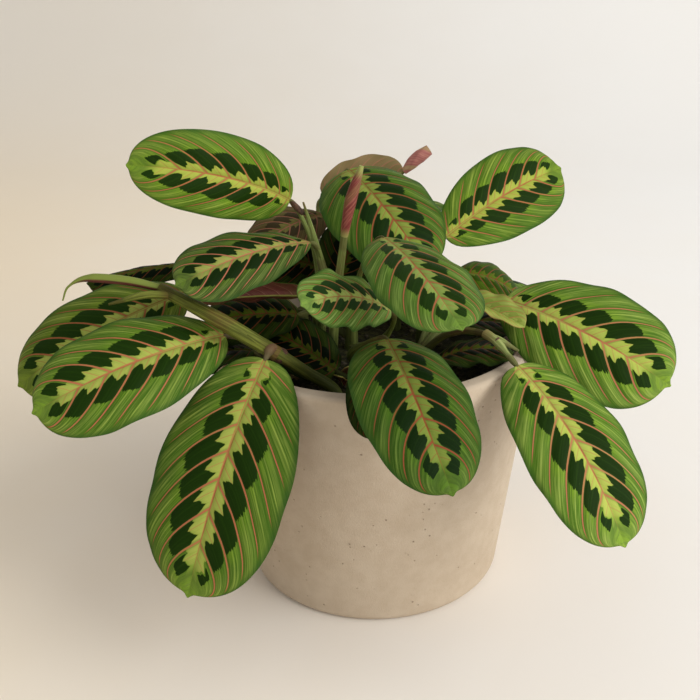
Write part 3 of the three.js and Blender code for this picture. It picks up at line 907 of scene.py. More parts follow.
@dataclass
class BladeMesh:
    """Turns a blade's grids into a closed mesh with its layers."""

    blade: Blade
    top: np.ndarray
    bottom: np.ndarray
    layers: dict[str, np.ndarray]
    faces: list[tuple[int, ...]] = field(default_factory=list)
    corners: list[tuple[int, int, int]] = field(default_factory=list)
    slots: list[int] = field(default_factory=list)

    def add(self, corners: Sequence[tuple[int, int]], side: int, under: bool) -> None:
        """Adds one face of the upper or lower sheet.

        Args:
            corners: Row and column of each corner, anticlockwise from above.
            side: -1 or 1, the half of the blade.
            under: Whether the face is of the lower sheet.
        """
        order = list(reversed(corners)) if under else list(corners)
        self.faces.append(tuple(self.index(row, column, under) for row, column in order))
        self.corners.extend((row, column, side) for row, column in order)
        self.slots.append(1 if under else 0)

    def index(self, row: int, column: int, under: bool) -> int:
        """The vertex number of a grid corner; the ends of the blade are single points."""
        rows, columns, _ = self.top.shape
        if row in (0, rows - 1):
            column = columns // 2
        return (rows * columns if under else 0) + row * columns + column

    def make(self) -> bpy.types.Object:
        """Builds the faces, the rim and the layers.

        Returns:
            The object.
        """
        rows, columns, _ = self.top.shape
        for row in range(rows - 1):
            for column in range(columns - 1):
                side = -1 if column < columns // 2 else 1
                ring = [(row, column), (row, column + 1), (row + 1, column + 1), (row + 1, column)]
                if row == 0:
                    ring = [(0, columns // 2), (1, column + 1), (1, column)]
                if row == rows - 2:
                    ring = [(row, column), (row, column + 1), (row + 1, columns // 2)]
                self.add(ring, side, False)
                self.add(ring, side, True)
        self.add_rim(rows, columns)
        vertices = np.concatenate([self.top.reshape(-1, 3), self.bottom.reshape(-1, 3)])
        used = sorted({index for face in self.faces for index in face})
        remap = {old: new for new, old in enumerate(used)}
        faces = [tuple(remap[index] for index in face) for face in self.faces]
        name = "blade_" + self.blade.name
        return make_object(name, vertices[used], faces, self.slots, self.corner_layers(), crease=BLADE_CREASE)

    def add_rim(self, rows: int, columns: int) -> None:
        """Closes the margin between the two sheets.

        Args:
            rows: Rows of the grid.
            columns: Columns of the grid.
        """
        middle = columns // 2
        right = [(row, columns - 1) for row in range(1, rows - 1)]
        left = [(row, 0) for row in range(rows - 2, 0, -1)]
        ring = [(0, middle), *right, (rows - 1, middle), *left]
        for here, following in zip(ring, ring[1:] + ring[:1]):
            side = -1 if 0 in (here[1], following[1]) else 1
            corners = ((following, False), (here, False), (here, True), (following, True))
            self.faces.append(tuple(self.index(*corner, under) for corner, under in corners))
            self.corners.extend((*corner, side) for corner, _ in corners)
            self.slots.append(0)

    def corner_layers(self) -> dict[str, np.ndarray]:
        """The vein, place and run layers that the faces' materials read.

        Returns:
            A pair of numbers for each corner, by the layer's name.
        """
        row, column, side = np.array(self.corners).T
        grids = {name: grid[row, column] for name, grid in self.layers.items()}
        shift = FIRST_VEIN_STEP + np.where(side < 0, self.blade.stagger, 0)
        strand = grids["phase"] - shift / STEPS_PER_VEIN
        across = np.abs(grids["v"])
        pairs = {
            "veins": (strand, side * np.maximum(across, 1e-4)),
            "place": (grids["reach"], grids["gap"]),
            "run": (grids["a"], across),
        }
        return {name: np.stack(pair, axis=1) for name, pair in pairs.items()}


@dataclass(frozen=True)
class StalkFinish:
    """Green stem and leaf stalk: streaked along, ribbed, with red sheath edges and a dull joint."""

    name: str
    colour: Colour = (0.120, 0.165, 0.032)
    pale: Colour = (0.260, 0.310, 0.085)
    dull: Colour = (0.090, 0.065, 0.025)
    red: Colour = (0.180, 0.055, 0.030)
    shaded: Colour = (0.026, 0.036, 0.006)

    def material(self) -> bpy.types.Material:
        """Builds the stalk's nodes from its length and girth layers.

        Returns:
            The material.
        """
        sh = Shader(self.name)
        length, turn = sh.pair("girth")
        joint, foot = sh.pair("ends")
        east, north = sh.maths("SINE", turn), sh.maths("COSINE", turn)
        streak = sh.noise(sh.vector(east * 3.2, north * 3.2, length * 0.05), 1.0, 3, 0.6)
        hair = sh.noise(sh.vector(east * 9.0, north * 9.0, length * 0.12), 1.0, 2)
        place = sh.place()
        _, _, height = sh.split(place)
        cloud = sh.noise(place, 60.0, 3)
        colour = sh.mix(sh.step(0.35, 0.7, streak), self.colour, self.pale)
        colour = sh.mix(sh.step(0.5, 0.75, hair) * 0.4, colour, self.dull)
        colour = sh.mix(sh.step(0.52, 0.74, cloud) * 0.45, colour, self.red)
        colour = sh.mix(sh.step(8.0, 5.5, joint) * 0.55, colour, self.dull)
        colour = sh.mix(sh.step(7.0, 0.0, foot) * 0.5, colour, self.red)
        # Painted shade: the stalks darken low down, under the leaves.
        colour = sh.mix(sh.step(0.147, 0.120, height) * 0.8, colour, self.shaded)
        return sh.surface(colour, 0.5 + hair * 0.12, hair, 0.00025, Specular_IOR_Level=0.15)


class Stalk(Enum):
    """The kinds of stem and leaf stalk, by their colours."""

    GREEN = StalkFinish("green_stalk")
    OLIVE = StalkFinish("olive_stem", (0.060, 0.070, 0.008), (0.190, 0.215, 0.034), (0.050, 0.028, 0.008))
    DARK = StalkFinish("dark_stalk", (0.060, 0.078, 0.012), (0.130, 0.160, 0.028), (0.045, 0.032, 0.010))
    BROWN = StalkFinish("brown_stem", (0.050, 0.038, 0.011), (0.150, 0.150, 0.028), (0.035, 0.018, 0.008))
    PALE = StalkFinish("pale_stalk", (0.220, 0.280, 0.075), (0.380, 0.430, 0.150), (0.150, 0.110, 0.045))
    CLAY = StalkFinish("clay_stalk", (0.160, 0.130, 0.065), (0.270, 0.250, 0.120), (0.090, 0.060, 0.030))


@dataclass(frozen=True)
class NodeRingFinish:
    """The brown, slightly corky ring where a leaf's sheath starts on the stem."""

    name: str = "node_ring"

    def material(self) -> bpy.types.Material:
        """Builds the ring's nodes."""
        sh = Shader(self.name)
        grain = sh.noise(sh.place(), 900.0, 3, 0.6)
        colour = sh.mix(sh.step(0.3, 0.7, grain), (0.045, 0.018, 0.008), (0.120, 0.054, 0.024))
        return sh.surface(colour, 0.7, grain, 0.0002)


@dataclass(frozen=True)
class RolledFinish:
    """A leaf still rolled up: maroon and pink streaks that wind round it, green towards one end."""

    name: str
    main: Colour = (0.24, 0.06, 0.055)
    streak: Colour = (0.46, 0.18, 0.14)
    tip: Colour = (0.42, 0.46, 0.15)
    tip_start: float = 0.82
    foot_end: float = -1.0
    winds: float = 9.0
    green_from: float = 0.55
    green: float = 0.35

    def material(self) -> bpy.types.Material:
        """Builds the roll's nodes from its length and girth layers.

        Returns:
            The material.
        """
        sh = Shader(self.name)
        _, turn = sh.pair("girth")
        run, _ = sh.pair("ends")
        wound = sh.maths("SINE", turn + run * self.winds)
        across = sh.maths("COSINE", turn + run * self.winds)
        fine = sh.noise(sh.vector(wound * 3.0, across * 3.0, run * 3.0), 1.0, 3, 0.65)
        colour = sh.mix(sh.step(0.4, 0.66, fine), self.main, self.streak)
        shine = sh.step(self.green_from, self.green_from + 0.4, wound)
        colour = sh.mix(shine * self.green, colour, self.tip)
        place = run + fine * 0.1
        colour = sh.mix(sh.step(self.tip_start - 0.1, self.tip_start + 0.1, place), colour, self.tip)
        colour = sh.mix(sh.step(self.foot_end + 0.08, self.foot_end - 0.08, place) * 0.8, colour, self.tip)
        return sh.surface(colour, 0.48, fine, 0.0002, Specular_IOR_Level=0.18)


@dataclass(frozen=True)
class StonewareFinish:
    """Unglazed sandy stoneware: warm beige, finely speckled, with a few dark pits and faint rings."""

    name: str = "stoneware"
    body: Colour = (0.475, 0.380, 0.275)
    pale: Colour = (0.570, 0.475, 0.360)
    brown: Colour = (0.31, 0.225, 0.145)

    def material(self) -> bpy.types.Material:
        """Builds the clay's nodes.

        Returns:
            The material.
        """
        sh = Shader(self.name)
        place = sh.place()
        _, _, height = sh.split(place)
        sand = sh.noise(place, 1400.0, 3, 0.7)
        mottle = sh.noise(place, 120.0, 4, 0.6)
        broad = sh.noise(place, 22.0, 3)
        rings = sh.noise(sh.vector(height * 900.0, broad * 2.0, 0.0), 1.0, 2)
        colour = sh.mix(sh.step(0.3, 0.7, mottle) * 0.5 + 0.25, self.body, self.pale)
        colour = sh.mix(sh.step(0.42, 0.72, broad) * 0.14, colour, self.brown)
        colour = sh.mix(sh.step(0.62, 0.74, sand) * 0.45, colour, self.brown)
        colour = sh.mix(sh.step(0.36, 0.26, sand) * 0.40, colour, self.pale)
        pits = sh.node("TexVoronoi", None, {"Vector": place, "Scale": 260.0}, "Distance")
        chosen = sh.noise(place, 95.0, 1)
        pit = sh.step(0.16, 0.07, pits) * sh.step(0.54, 0.62, chosen)
        colour = sh.mix(pit * 0.5, colour, (0.13, 0.075, 0.04))
        colour = sh.mix(sh.step(0.1265, 0.1285, height) * 0.5, colour, self.pale)
        relief = sand * 0.6 + rings * 0.05 + mottle * 0.2 - pit * 0.9
        return sh.surface(colour, 0.86, relief, 0.00035, Specular_IOR_Level=0.25)


@dataclass(frozen=True)
class SoilFinish:
    """Dark moist potting soil with fibres and lighter crumbs, its dark made darker still as painted shade
    under the leaves.
    """

    name: str = "potting_soil"
    dark: Colour = (0.007, 0.007, 0.0015)
    light: Colour = (0.065, 0.066, 0.014)

    def material(self) -> bpy.types.Material:
        """Builds the soil's nodes.

        Returns:
            The material.
        """
        sh = Shader(self.name)
        place = sh.place()
        crumbs = sh.noise(place, 420.0, 4, 0.7)
        lumps = sh.noise(place, 110.0, 3)
        colour = sh.mix(sh.step(0.35, 0.75, crumbs) * sh.step(0.2, 0.7, lumps), self.dark, self.light)
        return sh.surface(colour, 0.95, crumbs, 0.0012, Specular_IOR_Level=0.2)


@dataclass(frozen=True)
class LitterFinish:
    """Bark crumbs and dry scraps on the soil, each piece of its own brown."""

    name: str
    dark: Colour
    light: Colour

    def material(self) -> bpy.types.Material:
        """Builds the litter's nodes."""
        sh = Shader(self.name)
        piece = sh.noise(sh.place(), 260.0, 1)
        grain = sh.noise(sh.place(), 1500.0, 3, 0.6)
        colour = sh.mix(sh.step(0.3, 0.7, piece), self.dark, self.light)
        colour = sh.mix(sh.step(0.4, 0.7, grain) * 0.6, colour, (0.4, 0.35, 0.3), "MULTIPLY")
        return sh.surface(colour, 0.85, grain, 0.0003)


@dataclass(frozen=True)
class StudioFinish:
    """Seamless warm paper: darker and warmer to the left as painted shade, and paler on the floor than on the
    wall as painted light.
    """

    name: str = "studio_paper"

    def material(self) -> bpy.types.Material:
        """Builds the paper's nodes."""
        sh = Shader(self.name)
        place = sh.place()
        across, depth, _ = sh.split(place)
        cloud = sh.noise(place, 7.0, 3)
        # Painted shade: the paper darkens and warms towards the left, away from the window light.
        warm = sh.step(0.45, -0.55, across + (cloud - 0.5) * 0.25)
        wall = sh.mix(warm, (0.86, 0.845, 0.82), (0.77, 0.72, 0.645))
        # Painted light: the floor is paler than the wall.
        floor = sh.mix(warm, (0.90, 0.895, 0.885), (0.87, 0.745, 0.565))
        colour = sh.mix(sh.step(1.3, 0.4, depth), wall, floor)
        return sh.surface(colour, 0.9, cloud, 0.0)


@dataclass
class Tube:
    """A round stalk along a line of points, closed at both ends."""

    line: np.ndarray
    radius: np.ndarray
    sides: int = 12
    twist: float = 0.0
    seam: float = 0.0
    squash: float = 1.0

    def rings(self) -> tuple[np.ndarray, np.ndarray]:
        """The rings of points round the line.

        Returns:
            The points, ring by ring, and the length that each ring is along the line.
        """
        steps = np.gradient(self.line, axis=0)
        ahead = steps / np.linalg.norm(steps, axis=1, keepdims=True)
        side = np.cross(ahead[0], (0.0, 0.0, 1.0))
        if np.linalg.norm(side) < 0.2:
            side = np.cross(ahead[0], (1.0, 0.0, 0.0))
        rings = []
        turn = circle(self.sides)
        lengths = lengths_along(self.line)
        for centre, forward, radius, length in zip(self.line, ahead, self.radius, lengths):
            side = side - forward * np.dot(side, forward)
            side /= np.linalg.norm(side)
            up = np.cross(side, forward)
            angle = turn + self.twist * length / lengths[-1]
            reach = radius * (1 + self.seam * turn / FULL_TURN)
            ring = centre + np.outer(reach * np.cos(angle), side)
            ring = ring + np.outer(reach * self.squash * np.sin(angle), up)
            rings.append(ring)
        return np.array(rings), lengths


@dataclass
class StalkMesh:
    """Gathers tubes into one mesh, with its girth and ends layers."""

    name: str
    vertices: list[np.ndarray] = field(default_factory=list)
    faces: list[tuple[int, ...]] = field(default_factory=list)
    girth: list[tuple[float, float]] = field(default_factory=list)
    ends: list[tuple[float, float]] = field(default_factory=list)
    slots: list[int] = field(default_factory=list)
    count: int = 0

    def add(self, tube: Tube, slot: int = 0, fraction: bool = False) -> None:
        """Adds one tube.

        Args:
            tube: The tube.
            slot: The material slot of its faces.
            fraction: Whether the ends layer holds the fraction run instead of millimetres.
        """
        rings, lengths = tube.rings()
        steps, sides, _ = rings.shape
        total = lengths[-1]
        self.vertices.append(rings.reshape(-1, 3))

        def corner(step: int, side: int) -> None:
            """Writes both layers for one corner."""
            self.girth.append((lengths[step], side * FULL_TURN / sides))
            length = lengths[step]
            self.ends.append((length / total, length) if fraction else (total - length, length))

        walls = wall_faces(self.count, steps, sides)
        self.faces += walls
        for step in range(steps - 1):
            for side in range(sides):
                for s, r in ((step, side), (step, side + 1), (step + 1, side + 1), (step + 1, side)):
                    corner(s, r)
        for step, order in ((0, range(sides - 1, -1, -1)), (steps - 1, range(sides))):
            self.faces.append(tuple(self.count + step * sides + side for side in order))
            for side in order:
                corner(step, side)
        self.slots += [slot] * (len(walls) + 2)
        self.count += steps * sides

    def make(self, materials: Sequence[bpy.types.Material]) -> bpy.types.Object:
        """Makes the object.

        Args:
            materials: One for each slot.

        Returns:
            The object.
        """
        layers = {"girth": self.girth, "ends": self.ends}
        vertices = np.concatenate(self.vertices)
        return make_object(self.name, vertices, self.faces, self.slots, layers, materials, crease=60)


def lengths_along(line: np.ndarray) -> np.ndarray:
    """The length of the line up to each of its points."""
    return np.concatenate([[0.0], np.cumsum(np.linalg.norm(np.diff(line, axis=0), axis=1))])


def spread_over(count: int, values: Sequence[float]) -> np.ndarray:
    """Values spread evenly over a line of so many points."""
    return np.interp(np.linspace(0, 1, count), np.linspace(0, 1, len(values)), values)


def steps_between(start: np.ndarray, end: np.ndarray, step: float, least: int = 2) -> int:
    """How many steps of about this length lead from one point to another."""
    return max(least, round(float(np.linalg.norm(end - start)) / step))


def smooth_line(points: Sequence[Point], step: float = 2.0) -> np.ndarray:
    """A smooth line through points.

    Args:
        points: The points in millimetres.
        step: About how far apart the line's own points are.

    Returns:
        The line's points.
    """
    knots = np.array(points, float)
    if len(knots) == 2:
        count = steps_between(knots[0], knots[1], step)
        return knots[0] + (knots[1] - knots[0]) * np.linspace(0, 1, count + 1)[:, None]
    padded = np.concatenate([[2 * knots[0] - knots[1]], knots, [2 * knots[-1] - knots[-2]]])
    line = [knots[0]]
    for before, start, end, after in zip(padded, padded[1:], padded[2:], padded[3:]):
        count = steps_between(start, end, step)
        t = (np.arange(1, count + 1) / count)[:, None]
        curve = (2 * t**3 - 3 * t**2 + 1) * start + (t**3 - 2 * t**2 + t) * 0.5 * (end - before)
        curve = curve + (3 * t**2 - 2 * t**3) * end + (t**3 - t**2) * 0.5 * (after - start)
        line.extend(curve)
    return np.array(line)


def bezier_line(corners: Sequence[np.ndarray], step: float = 2.0) -> np.ndarray:
    """A curve bent by two handles between two ends.

    Args:
        corners: Start, two handles and end.
        step: About how far apart its points are.

    Returns:
        The curve's points.
    """
    start, lean, bend, end = corners
    count = steps_between(start, end, step, 8)
    t = np.linspace(0, 1, count + 1)[:, None]
    return (1 - t) ** 3 * start + 3 * t * (1 - t) ** 2 * lean + 3 * t**2 * (1 - t) * bend + t**3 * end


@dataclass(frozen=True)
class Petiole:
    """A leaf's stalk: the leaf, its foot on the stem, where it leans, and its neck's length."""

    leaf: str
    foot: Point
    lean: Point
    neck: float
    girth: float = 1.0
    clay: bool = False

    def tube(self, blade: Blade) -> Tube:
        """The stalk: a sheathed lower part, a slim neck and a swollen joint under the blade.

        Args:
            blade: The leaf that it carries.

        Returns:
            The stalk's tube.
        """
        start, ahead = blade.midrib(np.array(0.0))
        end = start + ahead * 0.6
        bend = start - ahead * self.neck
        line = bezier_line([np.array(self.foot, float), np.array(self.lean, float), bend, end])
        lengths = lengths_along(line)
        left = lengths[-1] - lengths
        sheath = (SHEATH_RADIUS * self.girth, SHEATH_END_RADIUS * self.girth)
        radius = np.interp(lengths / lengths[-1], (0, 0.45, 0.62, 1), (*sheath, NECK_RADIUS, NECK_END_RADIUS))
        radius = radius + JOINT_BULGE * np.exp(-(((left - JOINT_PLACE) / JOINT_REACH) ** 2))
        radius = np.where(left < TAPER_LENGTH, radius * (0.55 + 0.45 * left / TAPER_LENGTH), radius)
        return Tube(line, radius, 12, squash=0.94)


@dataclass(frozen=True)
class Shoot:
    """A stem with its root and the leaf stalks that grow from it."""

    name: str
    root: tuple[float, float]
    stem: tuple[Point, ...]
    radii: tuple[float, float]
    petioles: tuple[Petiole, ...] = ()
    rings: tuple[tuple[Point, Point, float], ...] = ()
    sheaths: tuple[tuple[tuple[Point, ...], tuple[float, ...]], ...] = ()
    main: Stalk = Stalk.GREEN
    side: Stalk = Stalk.GREEN

    def build(
        self,
        blades: dict[str, Blade],
        finishes: dict[Stalk | None, bpy.types.Material],
    ) -> bpy.types.Object:
        """Makes the shoot's mesh.

        Args:
            blades: All blades by name.
            finishes: The materials by kind of stalk, and the node rings' own under None.

        Returns:
            The object.
        """
        mesh = StalkMesh("stems_" + self.name)
        x, y = self.root
        foot = [(x, y, SOIL_TOP - ROOT_DEPTH), (x, y, SOIL_TOP + STEM_START)]
        line = smooth_line([*foot, *self.stem])
        radius = np.linspace(self.radii[0], self.radii[1], len(line))
        mesh.add(Tube(line, radius, 16), STEM_SLOT)
        for petiole in self.petioles:
            mesh.add(petiole.tube(blades[petiole.leaf]), CLAY_SLOT if petiole.clay else STALK_SLOT)
        for points, radii in self.sheaths:
            line = smooth_line(points, 1.5)
            mesh.add(Tube(line, spread_over(len(line), radii), 14, twist=0.6, seam=0.12), STALK_SLOT)
        for start, end, girth in self.rings:
            line = smooth_line([start, end], 0.5)
            bulge = np.sin(np.linspace(0.25, np.pi - 0.25, len(line))) ** 0.4 * girth
            mesh.add(Tube(line, bulge, 20), RING_SLOT)
        return mesh.make([finishes[kind] for kind in (self.main, None, self.side, Stalk.CLAY)])


@dataclass(frozen=True)
class RolledLeaf:
    """A leaf that is still rolled: the line of the roll and its radii."""

    name: str
    node: str
    points: tuple[Point, ...]
    radii: tuple[float, ...]
    finish: RolledFinish
    twist: float = 1.6
    seam: float = 0.22

    def build(self) -> bpy.types.Object:
        """Makes the roll's mesh with a standing seam that winds round it.

        Returns:
            The object.
        """
        line = smooth_line(self.points, 1.0)
        radius = spread_over(len(line), self.radii)
        mesh = StalkMesh(self.name)
        mesh.add(Tube(line, radius, 28, twist=self.twist, seam=self.seam), fraction=True)
        return mesh.make([self.finish.material()])


@dataclass(frozen=True)
class Pot:
    """The tapered stoneware pot, turned from one profile."""

    sides: int = 160
    lip: float = 2.2
    foot: float = 4.0
    unevenness: float = 0.0012

    def wall(self, z: float) -> float:
        """The outer radius at a height."""
        return POT_BASE_RADIUS + (POT_RIM_RADIUS - POT_BASE_RADIUS) * z / POT_HEIGHT

    def profile(self) -> list[tuple[float, float]]:
        """The pot's outline from the middle of its base round to the middle of its floor.

        Returns:
            Pairs of radius and height.
        """
        quarter = [math.radians(angle) for angle in range(0, 91, 15)]
        points = [(0.0, 0.0), (30.0, 0.0)]
        foot = self.foot
        flat = self.wall(foot) - foot
        points += [(flat + foot * math.sin(t), foot - foot * math.cos(t)) for t in quarter]
        points += [(self.wall(z), z) for z in range(12, 124, 8)]
        rim = POT_RIM_RADIUS - self.lip
        low = POT_HEIGHT - self.lip
        points += [(rim + self.lip * math.cos(t), low + self.lip * math.sin(t)) for t in quarter]
        inner = POT_RIM_RADIUS - POT_WALL + self.lip
        points += [(inner - self.lip * math.sin(t), low + self.lip * math.cos(t)) for t in quarter]
        points += [(self.wall(z) - POT_WALL, z) for z in (118, 112, 90, 60, 30, POT_FLOOR + 4)]
        points += [(self.wall(POT_FLOOR) - POT_WALL - 4, POT_FLOOR), (0.0, POT_FLOOR)]
        return points

    def build(self) -> bpy.types.Object:
        """Makes the pot.

        Returns:
            The object.
        """
        outline = np.array(self.profile())
        rings = outline[1:-1]
        turn = circle(self.sides)
        wobble = 1 - self.unevenness * (1 + np.sin(3 * turn + 0.7) * 0.5 + np.sin(5 * turn) * 0.3)
        vertices = [(0.0, 0.0, outline[0][1]), (0.0, 0.0, outline[-1][1])]
        for radius, z in rings:
            spread = radius * wobble
            vertices += [(r * math.cos(t), r * math.sin(t), z) for r, t in zip(spread, turn)]
        faces = wall_faces(2, len(rings), self.sides)
        last = 2 + (len(rings) - 1) * self.sides
        for side in range(self.sides):
            following = (side + 1) % self.sides
            faces.append((0, 2 + following, 2 + side))
            faces.append((1, last + side, last + following))
        clay = StonewareFinish().material()
        return make_object("stoneware_pot", vertices, faces, materials=[clay], crease=50)


@dataclass(frozen=True)
class Soil:
    """The lumpy bed of soil, with bark crumbs and leaf litter lying on it."""

    rings: int = 46
    sides: int = 120
    edge: float = POT_RIM_RADIUS - POT_WALL - 2.4
    mound_edge: float = POT_RIM_RADIUS - POT_WALL - 2
    skirt: float = 20.0
    crumbs: int = 420
    crumb_edge: float = POT_RIM_RADIUS - POT_WALL - 5
    seed: int = 7

    def height(self, x: np.ndarray, y: np.ndarray) -> np.ndarray:
        """The bed's height at points across it."""
        mound = SOIL_MOUND * (1 - (np.hypot(x, y) / self.mound_edge) ** 2)
        lumps = np.sin(x * 0.31 + 1.0) * np.cos(y * 0.27) + 0.6 * np.sin(x * 0.73 + y * 0.51)
        grit = 0.5 * np.sin(x * 1.9 + 0.3 * y) * np.sin(y * 2.1 - 0.4 * x)
        return SOIL_TOP + mound * 0.8 + 0.55 * lumps + 0.5 * grit

    def build(self) -> bpy.types.Object:
        """Makes the bed: a closed body with a lumpy top.

        Returns:
            The object.
        """
        radii = np.sqrt(np.linspace(0.0004, 1, self.rings)) * self.edge
        turn = circle(self.sides)
        x = np.outer(radii, np.cos(turn))
        y = np.outer(radii, np.sin(turn))
        top = np.stack([x, y, self.height(x, y)], axis=-1)
        skirt = top[-1].copy()
        skirt[:, :2] *= 0.96
        skirt[:, 2] = SOIL_TOP - self.skirt
        vertices = np.concatenate([top.reshape(-1, 3), skirt])
        faces: list[tuple[int, ...]] = [tuple(range(self.sides))]
        faces.append(tuple(range(len(vertices) - 1, len(vertices) - 1 - self.sides, -1)))
        faces += wall_faces(0, self.rings + 1, self.sides, inward=True)
        return make_object("soil_bed", vertices, faces, materials=[SoilFinish().material()])

    @staticmethod
    def lump() -> tuple[np.ndarray, list[tuple[int, int, int]]]:
        """A round lump: the corners of a cube, and a pole over each of its six sides.

        Returns:
            Its 14 points at a distance of 1, and its faces.
        """
        ball = np.array(
            [(x, y, z) for x in (-1, 1) for y in (-1, 1) for z in (-1, 1)]
            + [(2, 0, 0), (-2, 0, 0), (0, 2, 0), (0, -2, 0), (0, 0, 2), (0, 0, -2)],
            float,
        )
        ball /= np.linalg.norm(ball, axis=1, keepdims=True)
        faces: list[tuple[int, int, int]] = []
        for axis in range(3):
            for sign, pole in ((1, 8 + 2 * axis), (-1, 9 + 2 * axis)):
                ring = [i for i in range(8) if ball[i][axis] * sign > 0]
                others = [k for k in range(3) if k != axis]
                ring.sort(key=lambda i: math.atan2(ball[i][others[1]], ball[i][others[0]]))
                flip = (sign > 0) == (axis != 1)
                for here, following in zip(ring, ring[1:] + ring[:1]):
                    faces.append((pole, here, following) if flip else (pole, following, here))
        return ball, faces

    def litter(self) -> bpy.types.Object:
        """Scatters bark crumbs on the bed.

        Returns:
            One object of all crumbs.
        """
        rng = np.random.default_rng(self.seed)
        ball, lump_faces = self.lump()
        vertices = []
        faces = []
        slots = []
        for number in range(self.crumbs):
            radius = self.crumb_edge * math.sqrt(rng.random())
            angle = rng.random() * FULL_TURN
            x, y = radius * math.cos(angle), radius * math.sin(angle)
            size = rng.uniform(0.7, 2.2)
            stretch = np.array([1.0, rng.uniform(0.45, 0.9), rng.uniform(0.3, 0.6)]) * size
            shape = ball * (1 + rng.uniform(-0.25, 0.25, (len(ball), 1))) * stretch
            turned = shape @ np.array(Matrix.Rotation(rng.random() * FULL_TURN, 3, "Z"))
            turned = turned @ np.array(Matrix.Rotation(rng.uniform(-0.5, 0.5), 3, "X"))
            z = float(self.height(np.array(x), np.array(y))) + 0.15 * size
            start = len(ball) * number
            vertices.append(turned + (x, y, z))
            faces += [tuple(start + i for i in face) for face in lump_faces]
            slots += [int(rng.random() < 0.3)] * len(lump_faces)
        materials = (
            LitterFinish("bark_crumb", (0.010, 0.008, 0.003), (0.045, 0.034, 0.012)).material(),
            LitterFinish("dry_scrap", (0.040, 0.036, 0.010), (0.120, 0.100, 0.035)).material(),
        )
        points = np.concatenate(vertices)
        return make_object("soil_crumbs", points, faces, slots, materials=materials, smooth=False)


@dataclass(frozen=True)
class Studio:
    """The pale floor and backdrop, the soft lights and the camera."""

    camera_place: Point = (0.0, -0.449, 0.319)
    pitch: float = 24.42
    yaw: float = -1.43
    roll: float = -1.2
    lens: float = 51.43
    front: float = -2.2
    bend_start: float = 0.8
    bend_radius: float = 0.9
    top: float = 3.2
    half_width: float = 3.5
    aim: Point = (0.0, 0.0, 0.1)
    air: Colour = (1.0, 0.985, 0.96)
    air_strength: float = 0.57

    def sweep(self) -> bpy.types.Object:
        """The floor that bends up into the wall behind.

        Returns:
            The stage object.
        """
        line = [(self.front, 0.0), (0.5, 0.0)]
        for angle in range(0, 91, 6):
            t = math.radians(angle)
            rise = self.bend_radius - self.bend_radius * math.cos(t)
            line.append((self.bend_start + self.bend_radius * math.sin(t), rise))
        line.append((self.bend_start + self.bend_radius, self.top))
        columns = np.linspace(-self.half_width, self.half_width, 15)
        vertices = [(x, y, z) for y, z in line for x in columns]
        faces = []
        for row in range(len(line) - 1):
            for column in range(len(columns) - 1):
                low = row * len(columns) + column
                faces.append((low, low + 1, low + len(columns) + 1, low + len(columns)))
        paper = StudioFinish().material()
        return make_object("studio_sweep", vertices, faces, materials=[paper], unit=1.0)

    def light(self, name: str, place: Point, size: float, power: float, colour: Colour) -> bpy.types.Object:
        """A square soft light that looks at the plant.

        Args:
            name: The light's name.
            place: Where it stands, in metres.
            size: Its side.
            power: Its power in watts.
            colour: Its colour.

        Returns:
            The light's object.
        """
        lamp = bpy.data.lights.new(name, "AREA")
        lamp.size = size
        lamp.energy = power
        lamp.color = colour
        made = bpy.data.objects.new(name, lamp)
        made.location = place
        made.rotation_euler = (Vector(self.aim) - Vector(place)).to_track_quat("-Z", "Y").to_euler()
        return made

    def camera(self) -> bpy.types.Object:
        """The camera, at the photograph's own angle.

        Returns:
            The camera's object.
        """
        data = bpy.data.cameras.new("studio_camera")
        data.lens = self.lens
        data.sensor_width = 36.0
        data.clip_start = 0.01
        made = bpy.data.objects.new("studio_camera", data)
        yaw, pitch, roll = (math.radians(angle) for angle in (self.yaw, self.pitch, self.roll))
        ahead = Vector((math.sin(yaw) * math.cos(pitch), math.cos(yaw) * math.cos(pitch), -math.sin(pitch)))
        level = Vector((math.cos(yaw), -math.sin(yaw), 0.0))
        lift = level.cross(ahead)
        right = level * math.cos(roll) + lift * math.sin(roll)
        up = lift * math.cos(roll) - level * math.sin(roll)
        turned = Matrix((right, up, -ahead)).transposed()
        made.matrix_world = Matrix.Translation(self.camera_place) @ turned.to_4x4()
        return made

    def build(self) -> None:
        """Sets the stage, the lights, the world and the camera."""
        scene = bpy.context.scene
        sweep = self.sweep()
        scene.collection.objects.link(sweep)
        lights = (
            self.light("window", (1.95, -1.0, 1.5), 1.9, 52.0, (1.0, 0.99, 0.97)),
            self.light("fill", (1.5, -1.5, 0.4), 0.9, 7.0, (1.0, 0.98, 0.95)),
        )
        for light in lights:
            scene.collection.objects.link(light)
        world = bpy.data.worlds.new("studio_air")
        world.use_nodes = True
        air = world.node_tree.nodes["Background"]
        air.inputs["Color"].default_value = (*self.air, 1.0)
        air.inputs["Strength"].default_value = self.air_strength
        scene.world = world
        scene.view_settings.view_transform = "Standard"
        camera = self.camera()
        scene.collection.objects.link(camera)
        scene.camera = camera


